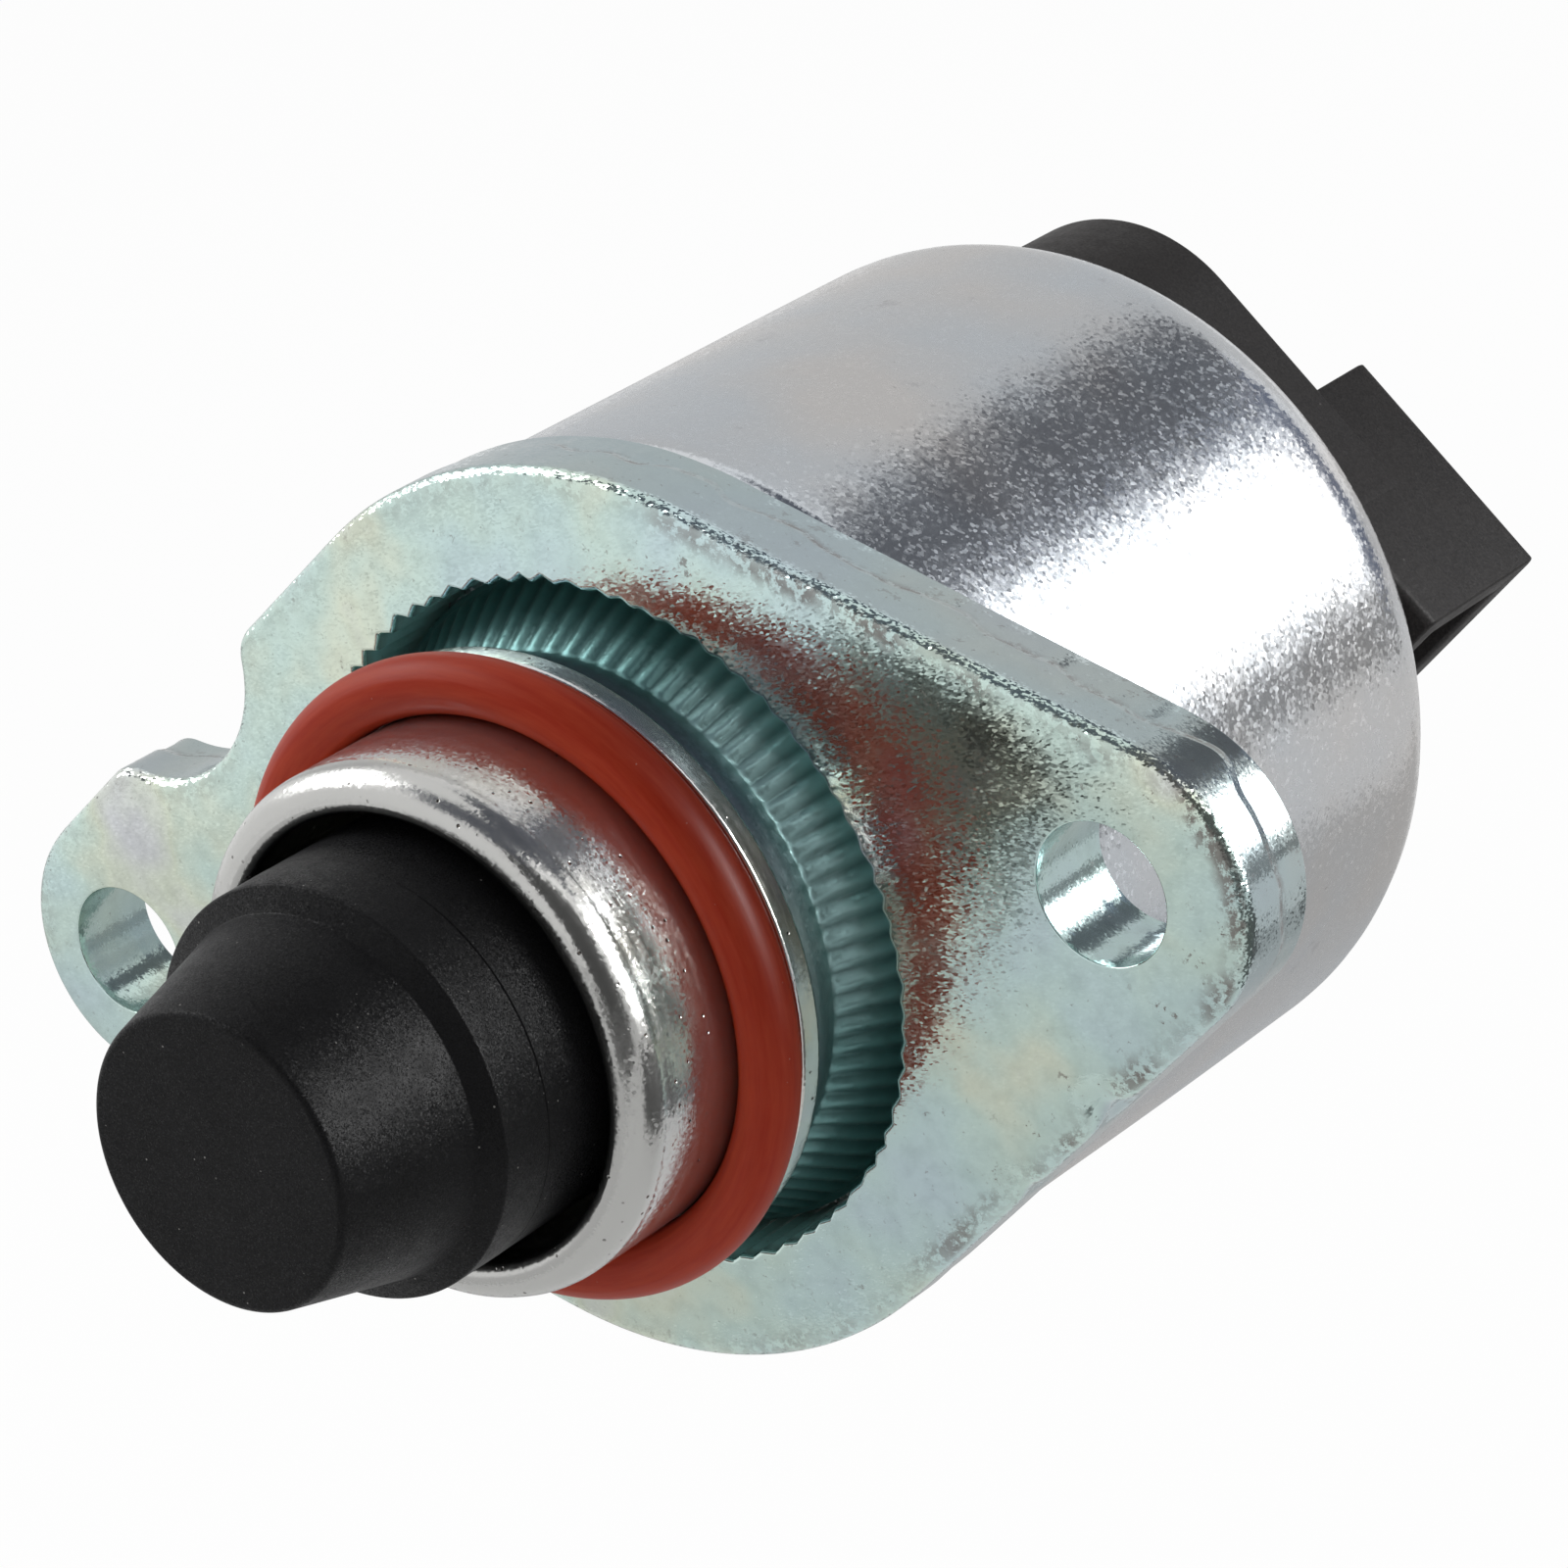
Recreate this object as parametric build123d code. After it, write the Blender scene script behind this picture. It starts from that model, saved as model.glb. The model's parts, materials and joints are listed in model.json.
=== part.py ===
from build123d import *
import math
import os

# Idle air control valve. The valve axis is Y: the pintle points to -Y, the connector is at +Y.
# The flange's front face lies at y = 0, its ears lie along X, and Z is up. Sizes in millimetres.

# Mounting flange
flange_thickness = 4.0
flange_body_radius = 18.0
ear_radius = 5.9
right_hole_offset = 23.5
right_ear_offset = 23.7
left_hole_offset = 26.5
left_ear_offset = 25.7
bolt_hole_radius = 2.75
bite_radius = 5.6
bite_offset = 24.2
bite_angle = 148.8
flange_edge_roll = 0.5
flange_bore_radius = 13.6
serration_count = 74
serration_depth = 0.22

# Motor can
can_radius = 17.5
can_length = 28.0
can_wall = 0.9
can_shoulder_radius = 4.0
can_front_roll = 1.2
guide_opening_radius = 11.0
cap_opening_radius = 12.6

# Nose sleeve
nose_length = 11.4
nose_radius = 10.5
nose_lip_radius = 8.82
nose_lip_depth = 1.6
nose_lip_roll = 1.2
nose_mouth_roll = 0.45
nose_bore_radius = 9.2
collar_position = 4.3
collar_width = 1.1
collar_radius = 12.3
neck_radius = 11.2
ridge_position = 0.9
ridge_count = 82
ridge_depth = 0.16
ridge_step = 0.1
groove_depth = 1.8
foot_clearance = 0.25

# Seal ring on the nose
seal_section_radius = 1.15
seal_clearance = 0.02

# Pintle
pintle_reach = 22.0
pintle_tip_radius = 5.75
pintle_cone_radius = 7.12
pintle_cone_length = 5.65
pintle_shoulder_length = 0.5
pintle_radius = 8.05
pintle_body_length = 12.4
pintle_tip_edge = 0.3
pintle_retract = 6.0
pintle_extend = 2.0
spring_pocket_depth = 6.6
spring_pocket_wall = 1.7

# Lead screw and its guide
shaft_radius = 2.5
shaft_length = 42.0
shaft_grip = 12.0
shaft_flat = 2.0
shaft_flat_length = 16.0
shaft_flat_start = 13.4
shaft_clearance = 0.05
guide_clearance = 0.2
guide_hub_radius = 5.0

# Spring
spring_wire_radius = 0.4
spring_turns = 5
spring_clearance = 0.35

# Ball bearing
plate_thickness = 1.0
plate_hub_clearance = 0.2
bearing_width = 3.5
bearing_outer_radius = 7.0
bearing_bore_radius = 4.0
bearing_cup_wall = 0.9
ball_count = 9
ball_radius = 0.8
ball_clearance = 0.04
race_gap = 1.1
cage_thickness = 0.6
washer_thickness = 0.2
washer_rise = 0.3
washer_width = 1.4

# Rotor
rotor_radius = 8.0
magnet_bore_radius = 5.5
magnet_length = 15.0
hub_shoulder_radius = 4.8
hub_shoulder_length = 0.6
rear_journal_radius = 3.4
rear_journal_length = 4.2
bush_clearance = 0.04

# Stator
air_gap = 0.35
stator_clearance = 0.2
pole_thickness = 0.8
pole_count = 6
claw_angle = 20.0
claw_thickness = 0.8
claw_gap = 1.4
phase_angle = 15.0
bobbin_clearance = 0.15
bobbin_wall = 0.8
coil_inset = 1.2

# Rear cap and connector
cap_depth = 5.0
cap_clearance = 0.1
bush_wall = 1.3
bush_length = 3.0
bush_recess = 0.5
neck_clearance = 0.3
seal_groove_position = 1.2
rear_seal_section_radius = 0.6
plug_angle = -57.8
block_half_width = 10.7
block_height = 8.0
block_back_reach = 14.4
block_front_reach = 4.0
block_corner_radius = 7.1
block_standoff = 0.3
shroud_drop = 4.5
shroud_rise = 3.5
shroud_start = -1.3
shroud_mouth = 9.5
shroud_wall = 1.7
shroud_floor = 1.6
pin_count = 4
pin_pitch = 4.0
pin_thickness = 0.8
pin_width = 1.5
pin_tip = 4.6
pin_leg_offset = 7.0
pin_leg_end = 1.0

# Stations along the axis
can_front = flange_thickness
can_rear = can_front + can_length
plate_front = can_front + can_wall
plate_rear = plate_front + plate_thickness
cap_rear = can_rear - can_wall - cap_clearance
cap_front = cap_rear - cap_depth
stack_half = (cap_front - plate_rear) / 2
bobbin_length = stack_half - 2 * pole_thickness
stack_middle = plate_rear + stack_half
bearing_front = plate_rear + washer_thickness + washer_rise
bearing_rear = bearing_front + bearing_width
magnet_front = bearing_rear + hub_shoulder_length
magnet_rear = magnet_front + magnet_length
pintle_step = -pintle_reach + pintle_cone_length + pintle_shoulder_length
pintle_rear = pintle_step + pintle_body_length
shaft_front = pintle_rear - shaft_grip
block_front = can_rear + block_standoff
block_rear = block_front + block_height - block_standoff
shroud_front = block_rear - shroud_drop
shroud_rear = block_rear + shroud_rise
pin_level = (shroud_front + shroud_rear) / 2

# Radii tied to their neighbours
can_bore = can_radius - can_wall
stator_radius = can_bore - stator_clearance
cup_radius = bearing_outer_radius + bearing_cup_wall
pole_bore = max(rotor_radius + air_gap, cup_radius + stator_clearance)
claw_outer = pole_bore + claw_thickness
bobbin_bore = claw_outer + bobbin_clearance
bobbin_tube = bobbin_bore + bobbin_wall
coil_radius = stator_radius - coil_inset
ball_ring_radius = (bearing_bore_radius + bearing_outer_radius) / 2
inner_race_radius = ball_ring_radius - race_gap / 2
outer_race_bore = ball_ring_radius + race_gap / 2
guide_radius = guide_opening_radius - guide_clearance
foot_radius = flange_bore_radius - foot_clearance
pocket_outer = pintle_radius - spring_pocket_wall
spring_mean_radius = pocket_outer - spring_clearance - spring_wire_radius
pocket_inner = spring_mean_radius - spring_wire_radius - spring_clearance
cap_radius = can_bore - cap_clearance
bush_bore = rear_journal_radius + bush_clearance
bush_radius = bush_bore + bush_wall


def turned(*points):
    """Solid turned about the valve axis from corners given as (radius, position)."""
    return revolve(make_face(Polyline(*points, close=True)), Axis.Y)


def rod(radius, front, rear):
    """Round bar on the valve axis between two positions."""
    return turned((0, front), (radius, front), (radius, rear), (0, rear))


def tube(inner, outer, front, rear):
    """Ring on the valve axis between two positions."""
    return turned((inner, front), (outer, front), (outer, rear), (inner, rear))


def slab(section, front, rear):
    """Block with the given cross-section (X across, Z up) between two positions."""
    return extrude(Plane.XZ.offset(-rear) * section, rear - front)


def rim(solid, radius, position):
    """Circular edges of one radius at one position along the axis."""
    rings = solid.edges().filter_by(GeomType.CIRCLE)
    return [e for e in rings if abs(e.radius - radius) < 0.001 and abs(e.arc_center.Y - position) < 0.001]


def star(count, low, high):
    """Toothed outline with sharp tips at the high radius and valleys at the low one."""
    corners = []
    for k in range(2 * count):
        radius = high if k % 2 == 0 else low
        turn = math.pi * k / count
        corners.append((radius * math.cos(turn), radius * math.sin(turn)))
    return make_face(Polyline(*corners, close=True))


def flange_outline():
    """Round body drawn out by straight tangents to an ear at each side, with one round bite."""
    body = Circle(flange_body_radius)
    right = Pos(right_ear_offset, 0) * Circle(ear_radius)
    left = Pos(-left_ear_offset, 0) * Circle(ear_radius)
    outline = make_hull(body.edges() + right.edges() + left.edges())
    turn = math.radians(bite_angle)
    bite = Pos(bite_offset * math.cos(turn), bite_offset * math.sin(turn)) * Circle(bite_radius)
    return outline - bite


def make_flange():
    plate = slab(flange_outline(), 0, flange_thickness)
    front = plate.faces().sort_by(Axis.Y)[0]
    plate = fillet(front.edges(), flange_edge_roll)
    teeth = star(serration_count, flange_bore_radius, flange_bore_radius + serration_depth)
    plate -= slab(teeth, -1, flange_thickness + 1)
    for offset in (right_hole_offset, -left_hole_offset):
        plate -= slab(Pos(offset, 0) * Circle(bolt_hole_radius), -1, flange_thickness + 1)
    return plate


def make_can():
    shell = rod(can_radius, can_front, can_rear)
    shell = fillet(rim(shell, can_radius, can_rear), can_shoulder_radius)
    shell = fillet(rim(shell, can_radius, can_front), can_front_roll)
    inside = rod(can_bore, plate_front, can_rear - can_wall)
    inside = fillet(rim(inside, can_bore, can_rear - can_wall), can_shoulder_radius - can_wall)
    shell -= inside
    shell -= rod(guide_opening_radius, can_front - 1, plate_front + 1)
    shell -= rod(cap_opening_radius, can_rear - can_wall - 1, can_rear + 1)
    return shell


def make_nose():
    """Lip, tube, collar and neck are turned; the foot's cone carries straight ridges that flare with it."""
    sleeve = rod(nose_radius, -nose_length, -collar_position)
    sleeve = fillet(rim(sleeve, nose_radius, -nose_length), nose_lip_roll)
    collar = rod(collar_radius, -collar_position, collar_width - collar_position)
    collar = fillet(rim(collar, collar_radius, -collar_position), collar_width / 4)
    collar = fillet(rim(collar, collar_radius, collar_width - collar_position), collar_width / 2)
    neck = rod(neck_radius, collar_width - collar_position, groove_depth)
    low = Plane.XZ.offset(ridge_position) * star(ridge_count, neck_radius, neck_radius + ridge_depth)
    wide = (foot_radius - ridge_step) / (neck_radius + ridge_depth)
    flared = star(ridge_count, neck_radius * wide, (neck_radius + ridge_depth) * wide)
    high = Plane.XZ.offset(-groove_depth) * flared
    ridges = loft([low, high], ruled=True)
    foot = rod(foot_radius, groove_depth, flange_thickness)
    sleeve = sleeve + collar + neck + ridges + foot
    sleeve -= rod(nose_lip_radius, -nose_length - 1, flange_thickness + 1)
    sleeve -= rod(nose_bore_radius, nose_lip_depth - nose_length, flange_thickness + 1)
    return fillet(rim(sleeve, nose_lip_radius, -nose_length), nose_mouth_roll)


def make_seal():
    middle = nose_radius + seal_clearance + seal_section_radius
    place = -collar_position - seal_section_radius
    return Pos(0, place, 0) * Rot(90, 0, 0) * Torus(middle, seal_section_radius)


def make_pintle():
    tip = -pintle_reach
    cone_end = tip + pintle_cone_length
    plug = turned(
        (0, tip),
        (pintle_tip_radius, tip),
        (pintle_cone_radius, cone_end),
        (pintle_radius, pintle_step),
        (pintle_radius, pintle_rear),
        (0, pintle_rear),
    )
    plug = fillet(rim(plug, pintle_tip_radius, tip), pintle_tip_edge)
    plug -= tube(pocket_inner, pocket_outer, pintle_rear - spring_pocket_depth, pintle_rear + 1)
    plug -= rod(shaft_radius, shaft_front, pintle_rear + 1)
    return plug


def flat_section(radius, flat):
    """Round section with one flat on its upper side."""
    return Circle(radius) - Pos(0, flat + radius) * Rectangle(4 * radius, 2 * radius)


def make_shaft():
    bar = rod(shaft_radius, shaft_front, shaft_front + shaft_length)
    flat_front = shaft_front + shaft_flat_start
    ring = slab(Circle(2 * shaft_radius), flat_front, flat_front + shaft_flat_length)
    ring -= slab(flat_section(2 * shaft_radius, shaft_flat), flat_front, flat_front + shaft_flat_length)
    return bar - ring


def make_guide():
    bush = rod(guide_radius, can_front, plate_front)
    bush += rod(guide_hub_radius, plate_front, plate_rear)
    hole = flat_section(shaft_radius + shaft_clearance, shaft_flat + shaft_clearance)
    return bush - slab(hole, can_front - 1, plate_rear + 1)


def make_spring():
    """Round wire wound between the pintle's pocket floor and the guide."""
    front = pintle_rear - spring_pocket_depth + spring_wire_radius
    rear = can_front - spring_wire_radius
    path = Helix(pitch=(rear - front) / spring_turns, height=rear - front, radius=spring_mean_radius)
    wire = sweep(Plane(path @ 0, z_dir=path % 0) * Circle(spring_wire_radius), path=path)
    return Pos(0, front, 0) * Rot(-90, 0, 0) * wire


def make_bearing_plate():
    plate = tube(guide_hub_radius + plate_hub_clearance, stator_radius, plate_front, plate_rear)
    return plate + tube(bearing_outer_radius, cup_radius, plate_rear, bearing_rear)


def make_washer():
    outer = bearing_outer_radius - plate_hub_clearance
    inner = outer - washer_width
    return turned(
        (inner, plate_rear),
        (outer, plate_rear + washer_rise),
        (outer, plate_rear + washer_rise + washer_thickness),
        (inner, plate_rear + washer_thickness),
    )


def ball_track():
    middle = (bearing_front + bearing_rear) / 2
    return Pos(0, middle, 0) * Rot(90, 0, 0) * Torus(ball_ring_radius, ball_radius + ball_clearance)


def make_outer_race():
    return tube(outer_race_bore, bearing_outer_radius, bearing_front, bearing_rear) - ball_track()


def make_inner_race():
    return tube(bearing_bore_radius, inner_race_radius, bearing_front, bearing_rear) - ball_track()


def ball_places():
    middle = (bearing_front + bearing_rear) / 2
    turns = [2 * math.pi * k / ball_count for k in range(ball_count)]
    return [Pos(ball_ring_radius * math.cos(t), middle, ball_ring_radius * math.sin(t)) for t in turns]


def make_balls():
    return Compound(children=[place * Sphere(ball_radius) for place in ball_places()])


def make_cage():
    middle = (bearing_front + bearing_rear) / 2
    half = ball_radius + ball_clearance
    inner = ball_ring_radius - cage_thickness / 2
    ring = tube(inner, inner + cage_thickness, middle, middle + 1.5 * half)
    for place in ball_places():
        ring -= place * Sphere(half)
    return ring


def make_hub():
    hub = rod(bearing_bore_radius, bearing_front, bearing_rear)
    hub += rod(hub_shoulder_radius, bearing_rear, magnet_front)
    hub += rod(magnet_bore_radius, magnet_front, magnet_rear)
    hub += rod(rear_journal_radius, magnet_rear, magnet_rear + rear_journal_length)
    return hub - rod(shaft_radius + shaft_clearance, bearing_front - 1, can_rear)


def make_magnet():
    return tube(magnet_bore_radius, rotor_radius, magnet_front, magnet_rear)


def make_pole(plate_front_face, claws_back, first_angle):
    """Flat ring with a circle of claws bent along the rotor, backwards or forwards."""
    claws = bobbin_length - claw_gap
    plate_back_face = plate_front_face + pole_thickness
    root = plate_back_face if claws_back else plate_front_face
    tip = root + claws if claws_back else root - claws
    far = plate_front_face if claws_back else plate_back_face
    pole = turned(
        (pole_bore, far),
        (stator_radius, far),
        (stator_radius, root),
        (claw_outer, root),
        (claw_outer, tip),
        (pole_bore, tip),
    )
    step = 2 * math.pi / pole_count
    half = (step - math.radians(claw_angle)) / 2
    reach = 2 * claw_outer
    for k in range(pole_count):
        turn = math.radians(first_angle) + step * (k + 0.5)
        first = (reach * math.cos(turn - half), reach * math.sin(turn - half))
        second = (reach * math.cos(turn + half), reach * math.sin(turn + half))
        window = make_face(Polyline((0, 0), first, second, close=True))
        pole -= slab(window & Circle(bobbin_bore), min(root, tip), max(root, tip))
    return pole


def make_front_outer_pole():
    return make_pole(plate_rear, True, 0)


def make_front_inner_pole():
    return make_pole(stack_middle - pole_thickness, False, 180 / pole_count)


def make_rear_inner_pole():
    return make_pole(stack_middle, True, phase_angle)


def make_rear_outer_pole():
    return make_pole(cap_front - pole_thickness, False, phase_angle + 180 / pole_count)


def make_bobbin(front):
    rear = front + bobbin_length
    spool = tube(bobbin_bore, bobbin_tube, front, rear)
    spool += tube(bobbin_bore, stator_radius, front, front + bobbin_wall)
    return spool + tube(bobbin_bore, stator_radius, rear - bobbin_wall, rear)


def make_coil(front):
    return tube(bobbin_tube, coil_radius, front + bobbin_wall, front + bobbin_length - bobbin_wall)


def plug_plane(position):
    """Plane across the valve axis with its first direction along the plug's way in."""
    turn = math.radians(plug_angle)
    return Plane(origin=(0, position, 0), x_dir=(math.cos(turn), 0, math.sin(turn)), z_dir=(0, 1, 0))


def plug_box(start, end, half_width, front, rear):
    """Box in the plug's own directions: along the plug, across it, and along the valve axis."""
    base = Pos((start + end) / 2, 0) * Rectangle(end - start, 2 * half_width)
    return extrude(plug_plane(front) * base, rear - front)


def make_pins():
    blades = []
    half = pin_thickness / 2
    leg_start = -pin_leg_offset - half
    leg_front = cap_front + pin_leg_end
    for k in range(pin_count):
        across = (k - (pin_count - 1) / 2) * pin_pitch
        place = plug_plane(0) * Pos(0, across, 0) * plug_plane(0).location.inverse()
        leg = plug_box(leg_start, leg_start + pin_thickness, pin_width / 2, leg_front, pin_level + half)
        arm = plug_box(leg_start, pin_tip, pin_width / 2, pin_level - half, pin_level + half)
        blades.append(place * (leg + arm))
    return Compound(children=blades)


def make_housing():
    """Cap inside the can, neck through its opening, then the rounded block and the plug shroud."""
    cap = rod(cap_radius, cap_front, cap_rear)
    cap = fillet(rim(cap, cap_radius, cap_rear), can_shoulder_radius - can_wall - 2 * cap_clearance)
    cap += rod(cap_opening_radius - neck_clearance, cap_rear, block_front)
    base = Pos((block_front_reach - block_back_reach) / 2, 0) * Rectangle(
        block_front_reach + block_back_reach, 2 * block_half_width
    )
    base = fillet(base.vertices().group_by(Axis.X)[0], block_corner_radius)
    body = cap + extrude(plug_plane(block_front) * base, block_rear - block_front)
    shroud = plug_box(shroud_start, shroud_mouth, block_half_width, shroud_front, shroud_rear)
    body += shroud
    body -= plug_box(
        shroud_start + shroud_floor,
        shroud_mouth + 1,
        block_half_width - shroud_wall,
        shroud_front + shroud_wall,
        shroud_rear - shroud_wall,
    )
    body -= rod(bush_radius, cap_front - 1, cap_front + bush_recess + bush_length)
    body -= rod(rear_journal_radius, cap_front, can_rear + pintle_extend + pintle_retract - block_standoff)
    groove = cap_front + seal_groove_position
    width = rear_seal_section_radius + cap_clearance
    body -= tube(can_bore - 2 * rear_seal_section_radius, can_radius, groove - width, groove + width)
    for blade in make_pins().children:
        body -= blade
    return body


def make_bush():
    front = cap_front + bush_recess
    return tube(bush_bore, bush_radius, front, front + bush_length)


def make_rear_seal():
    place = cap_front + seal_groove_position
    middle = can_bore - rear_seal_section_radius
    return Pos(0, place, 0) * Rot(90, 0, 0) * Torus(middle, rear_seal_section_radius)


def make_all():
    front_spool = plate_rear + pole_thickness
    rear_spool = stack_middle + pole_thickness
    return {
        "mounting_flange": make_flange(),
        "motor_can": make_can(),
        "nose_sleeve": make_nose(),
        "o_ring": make_seal(),
        "pintle": make_pintle(),
        "pintle_shaft": make_shaft(),
        "shaft_guide": make_guide(),
        "pintle_spring": make_spring(),
        "bearing_plate": make_bearing_plate(),
        "preload_washer": make_washer(),
        "bearing_outer_race": make_outer_race(),
        "bearing_inner_race": make_inner_race(),
        "bearing_balls": make_balls(),
        "bearing_cage": make_cage(),
        "rotor_hub": make_hub(),
        "rotor_magnet": make_magnet(),
        "front_outer_pole": make_front_outer_pole(),
        "front_inner_pole": make_front_inner_pole(),
        "rear_inner_pole": make_rear_inner_pole(),
        "rear_outer_pole": make_rear_outer_pole(),
        "front_bobbin": make_bobbin(front_spool),
        "rear_bobbin": make_bobbin(rear_spool),
        "front_coil": make_coil(front_spool),
        "rear_coil": make_coil(rear_spool),
        "connector_housing": make_housing(),
        "terminal_pins": make_pins(),
        "rear_bush": make_bush(),
        "rear_seal": make_rear_seal(),
    }


def main():
    os.makedirs("parts", exist_ok=True)
    for name, solid in make_all().items():
        export_step(solid, "parts/" + name + ".step")
        print(name, round(solid.volume, 1))


if __name__ == "__main__":
    main()
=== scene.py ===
"""Looks of an idle air control valve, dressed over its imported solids.

Everything lies in the solids' own frame, in metres: the valve axis is Y with the pintle at -Y, the
flange's front face is at y = 0, the bolt holes lie along X and Z is up. Sizes are in millimetres.
"""
import json
import logging
import math
from dataclasses import dataclass, field
from enum import Enum
from functools import cached_property

import bmesh
import bpy
import numpy as np
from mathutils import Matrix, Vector
from mathutils.geometry import delaunay_2d_cdt


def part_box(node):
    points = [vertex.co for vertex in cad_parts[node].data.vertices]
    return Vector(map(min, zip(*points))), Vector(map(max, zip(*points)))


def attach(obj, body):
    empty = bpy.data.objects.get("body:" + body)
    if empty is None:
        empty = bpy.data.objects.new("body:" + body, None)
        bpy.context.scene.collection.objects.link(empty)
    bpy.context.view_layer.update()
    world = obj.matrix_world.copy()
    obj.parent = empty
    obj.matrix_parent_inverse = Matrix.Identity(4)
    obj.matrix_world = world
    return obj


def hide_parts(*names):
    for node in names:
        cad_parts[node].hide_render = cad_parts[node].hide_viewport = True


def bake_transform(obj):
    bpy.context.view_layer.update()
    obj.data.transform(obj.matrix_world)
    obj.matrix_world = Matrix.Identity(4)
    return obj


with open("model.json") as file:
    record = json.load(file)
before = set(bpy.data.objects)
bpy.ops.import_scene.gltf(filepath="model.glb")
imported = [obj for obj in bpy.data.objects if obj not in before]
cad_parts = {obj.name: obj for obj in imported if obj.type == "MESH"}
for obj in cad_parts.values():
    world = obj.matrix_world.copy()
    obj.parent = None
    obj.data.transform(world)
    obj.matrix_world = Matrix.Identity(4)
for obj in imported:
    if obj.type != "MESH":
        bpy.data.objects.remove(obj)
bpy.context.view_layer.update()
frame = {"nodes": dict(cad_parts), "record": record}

log = logging.getLogger("valve")
MM = 0.001
FULL_TURN = 2 * math.pi
SEAM_GAP = 0.003  # millimetres within which two points of a seam are one

Array = np.ndarray
Socket = bpy.types.NodeSocket
Colour = tuple[float, float, float]
Value = Socket | float | Colour
Span = tuple[float, float]


class Body(Enum):
    """Moving bodies that a piece can ride on."""

    HOUSING = "valve_body"
    PINTLE = "pintle_body"


# Curves and surfaces


def extent(node: str) -> tuple[Array, Array]:
    """Lowest and highest corner of a solid at rest.

    Args:
        node: name of the solid.
    Returns:
        The two corners in millimetres.
    """
    low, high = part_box(node)
    return np.array(low) / MM, np.array(high) / MM


def arc(centre: Span, radius: float, start: float, end: float, count: int) -> Array:
    """Points of a circle: centre + radius (cos t, sin t) with t running evenly from start to end.

    Args:
        centre: the circle's centre.
        radius: its radius.
        start: first angle in radians.
        end: last angle in radians.
        count: number of points.
    Returns:
        Array of shape (count, 2).
    """
    turn = np.linspace(start, end, count)
    return np.array(centre) + radius * np.stack([np.cos(turn), np.sin(turn)], 1)


def rounded(corners: list[tuple[float, float, float]], closed: bool, steps: int = 8) -> Array:
    """Straight runs whose corners become tangent arcs.

    A corner with unit directions u and v to its neighbours and the angle w between them has its arc's
    centre at r / sin(w/2) along u + v; the arc turns evenly from the first tangent point to the second.

    Args:
        corners: (first, second, radius) of each corner.
        closed: True if the last corner joins the first.
        steps: points on each arc.
    Returns:
        Array of shape (n, 2).
    """
    points = np.array([c[:2] for c in corners], float)
    count = len(points)
    share = np.linspace(0, 1, steps)[:, None]
    runs = []
    for k, (_, _, radius) in enumerate(corners):
        if radius <= 0 or (not closed and k in (0, count - 1)):
            runs.append(points[k:k + 1])
            continue
        back = points[k - 1] - points[k]
        ahead = points[(k + 1) % count] - points[k]
        back = back / np.linalg.norm(back)
        ahead = ahead / np.linalg.norm(ahead)
        half = math.acos(float(np.clip(back @ ahead, -1, 1))) / 2
        bisector = (back + ahead) / np.linalg.norm(back + ahead)
        centre = points[k] + bisector * radius / math.sin(half)
        first = points[k] + back * radius / math.tan(half) - centre
        last = points[k] + ahead * radius / math.tan(half) - centre
        sweep = math.pi - 2 * half
        spokes = np.sin((1 - share) * sweep) * first + np.sin(share * sweep) * last
        runs.append(centre + spokes / math.sin(sweep))
    return np.concatenate(runs)


def spread(path: Array, spacing: float, closed: bool) -> Array:
    """Adds points along the long runs of a path, so that none is longer than the spacing.

    Args:
        path: points of shape (n, 2).
        spacing: longest run that stays whole.
        closed: True if the last point joins the first.
    Returns:
        Array of shape (m, 2), every point of the path among them.
    """
    ends = np.roll(path, -1, 0) if closed else path[1:]
    starts = path if closed else path[:-1]
    counts = np.maximum(np.ceil(np.linalg.norm(ends - starts, axis=1) / spacing).astype(int), 1)
    index = np.repeat(np.arange(len(starts)), counts)
    share = (np.arange(len(index)) - np.repeat(np.cumsum(counts) - counts, counts)) / counts[index]
    dense = starts[index] + (ends - starts)[index] * share[:, None]
    return dense if closed else np.concatenate([dense, path[-1:]])


def even(path: Array, count: int) -> Array:
    """Closed path with its points spread evenly: each coordinate read off against the running length.

    Args:
        path: points of shape (n, 2).
        count: number of points wanted.
    Returns:
        Array of shape (count, 2).
    """
    ring = np.concatenate([path, path[:1]])
    length = np.concatenate([[0], np.cumsum(np.linalg.norm(np.diff(ring, axis=0), axis=1))])
    place = np.linspace(0, length[-1], count, endpoint=False)
    return np.stack([np.interp(place, length, ring[:, k]) for k in range(2)], 1)


def outward(path: Array) -> Array:
    """Unit normals of a closed path that runs anticlockwise: its direction turned right by a quarter.

    Args:
        path: points of shape (n, 2).
    Returns:
        Array of shape (n, 2).
    """
    along = np.roll(path, -1, 0) - np.roll(path, 1, 0)
    along = along / np.linalg.norm(along, axis=1)[:, None]
    return np.stack([along[:, 1], -along[:, 0]], 1)


def angles(count: int) -> Array:
    """Even angles of a full turn, in radians, the first one not repeated."""
    return np.linspace(0, FULL_TURN, count, endpoint=False)


def turned(profile: Array, count: int, ripple: Array | float = 0.0) -> Array:
    """Surface of revolution about Y: (r cos t, y, r sin t), with r the profile's radius plus a ripple.

    Args:
        profile: (radius, position) points of shape (n, 2).
        count: points round the axis.
        ripple: change of radius, of shape (count, n) or one number.
    Returns:
        Grid of shape (count, n, 3).
    """
    turn = angles(count)[:, None]
    shape = (count, len(profile))
    radius = np.broadcast_to(profile[None, :, 0] + ripple, shape)
    height = np.broadcast_to(profile[None, :, 1], shape)
    return np.stack([radius * np.cos(turn), height, radius * np.sin(turn)], -1)


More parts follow.
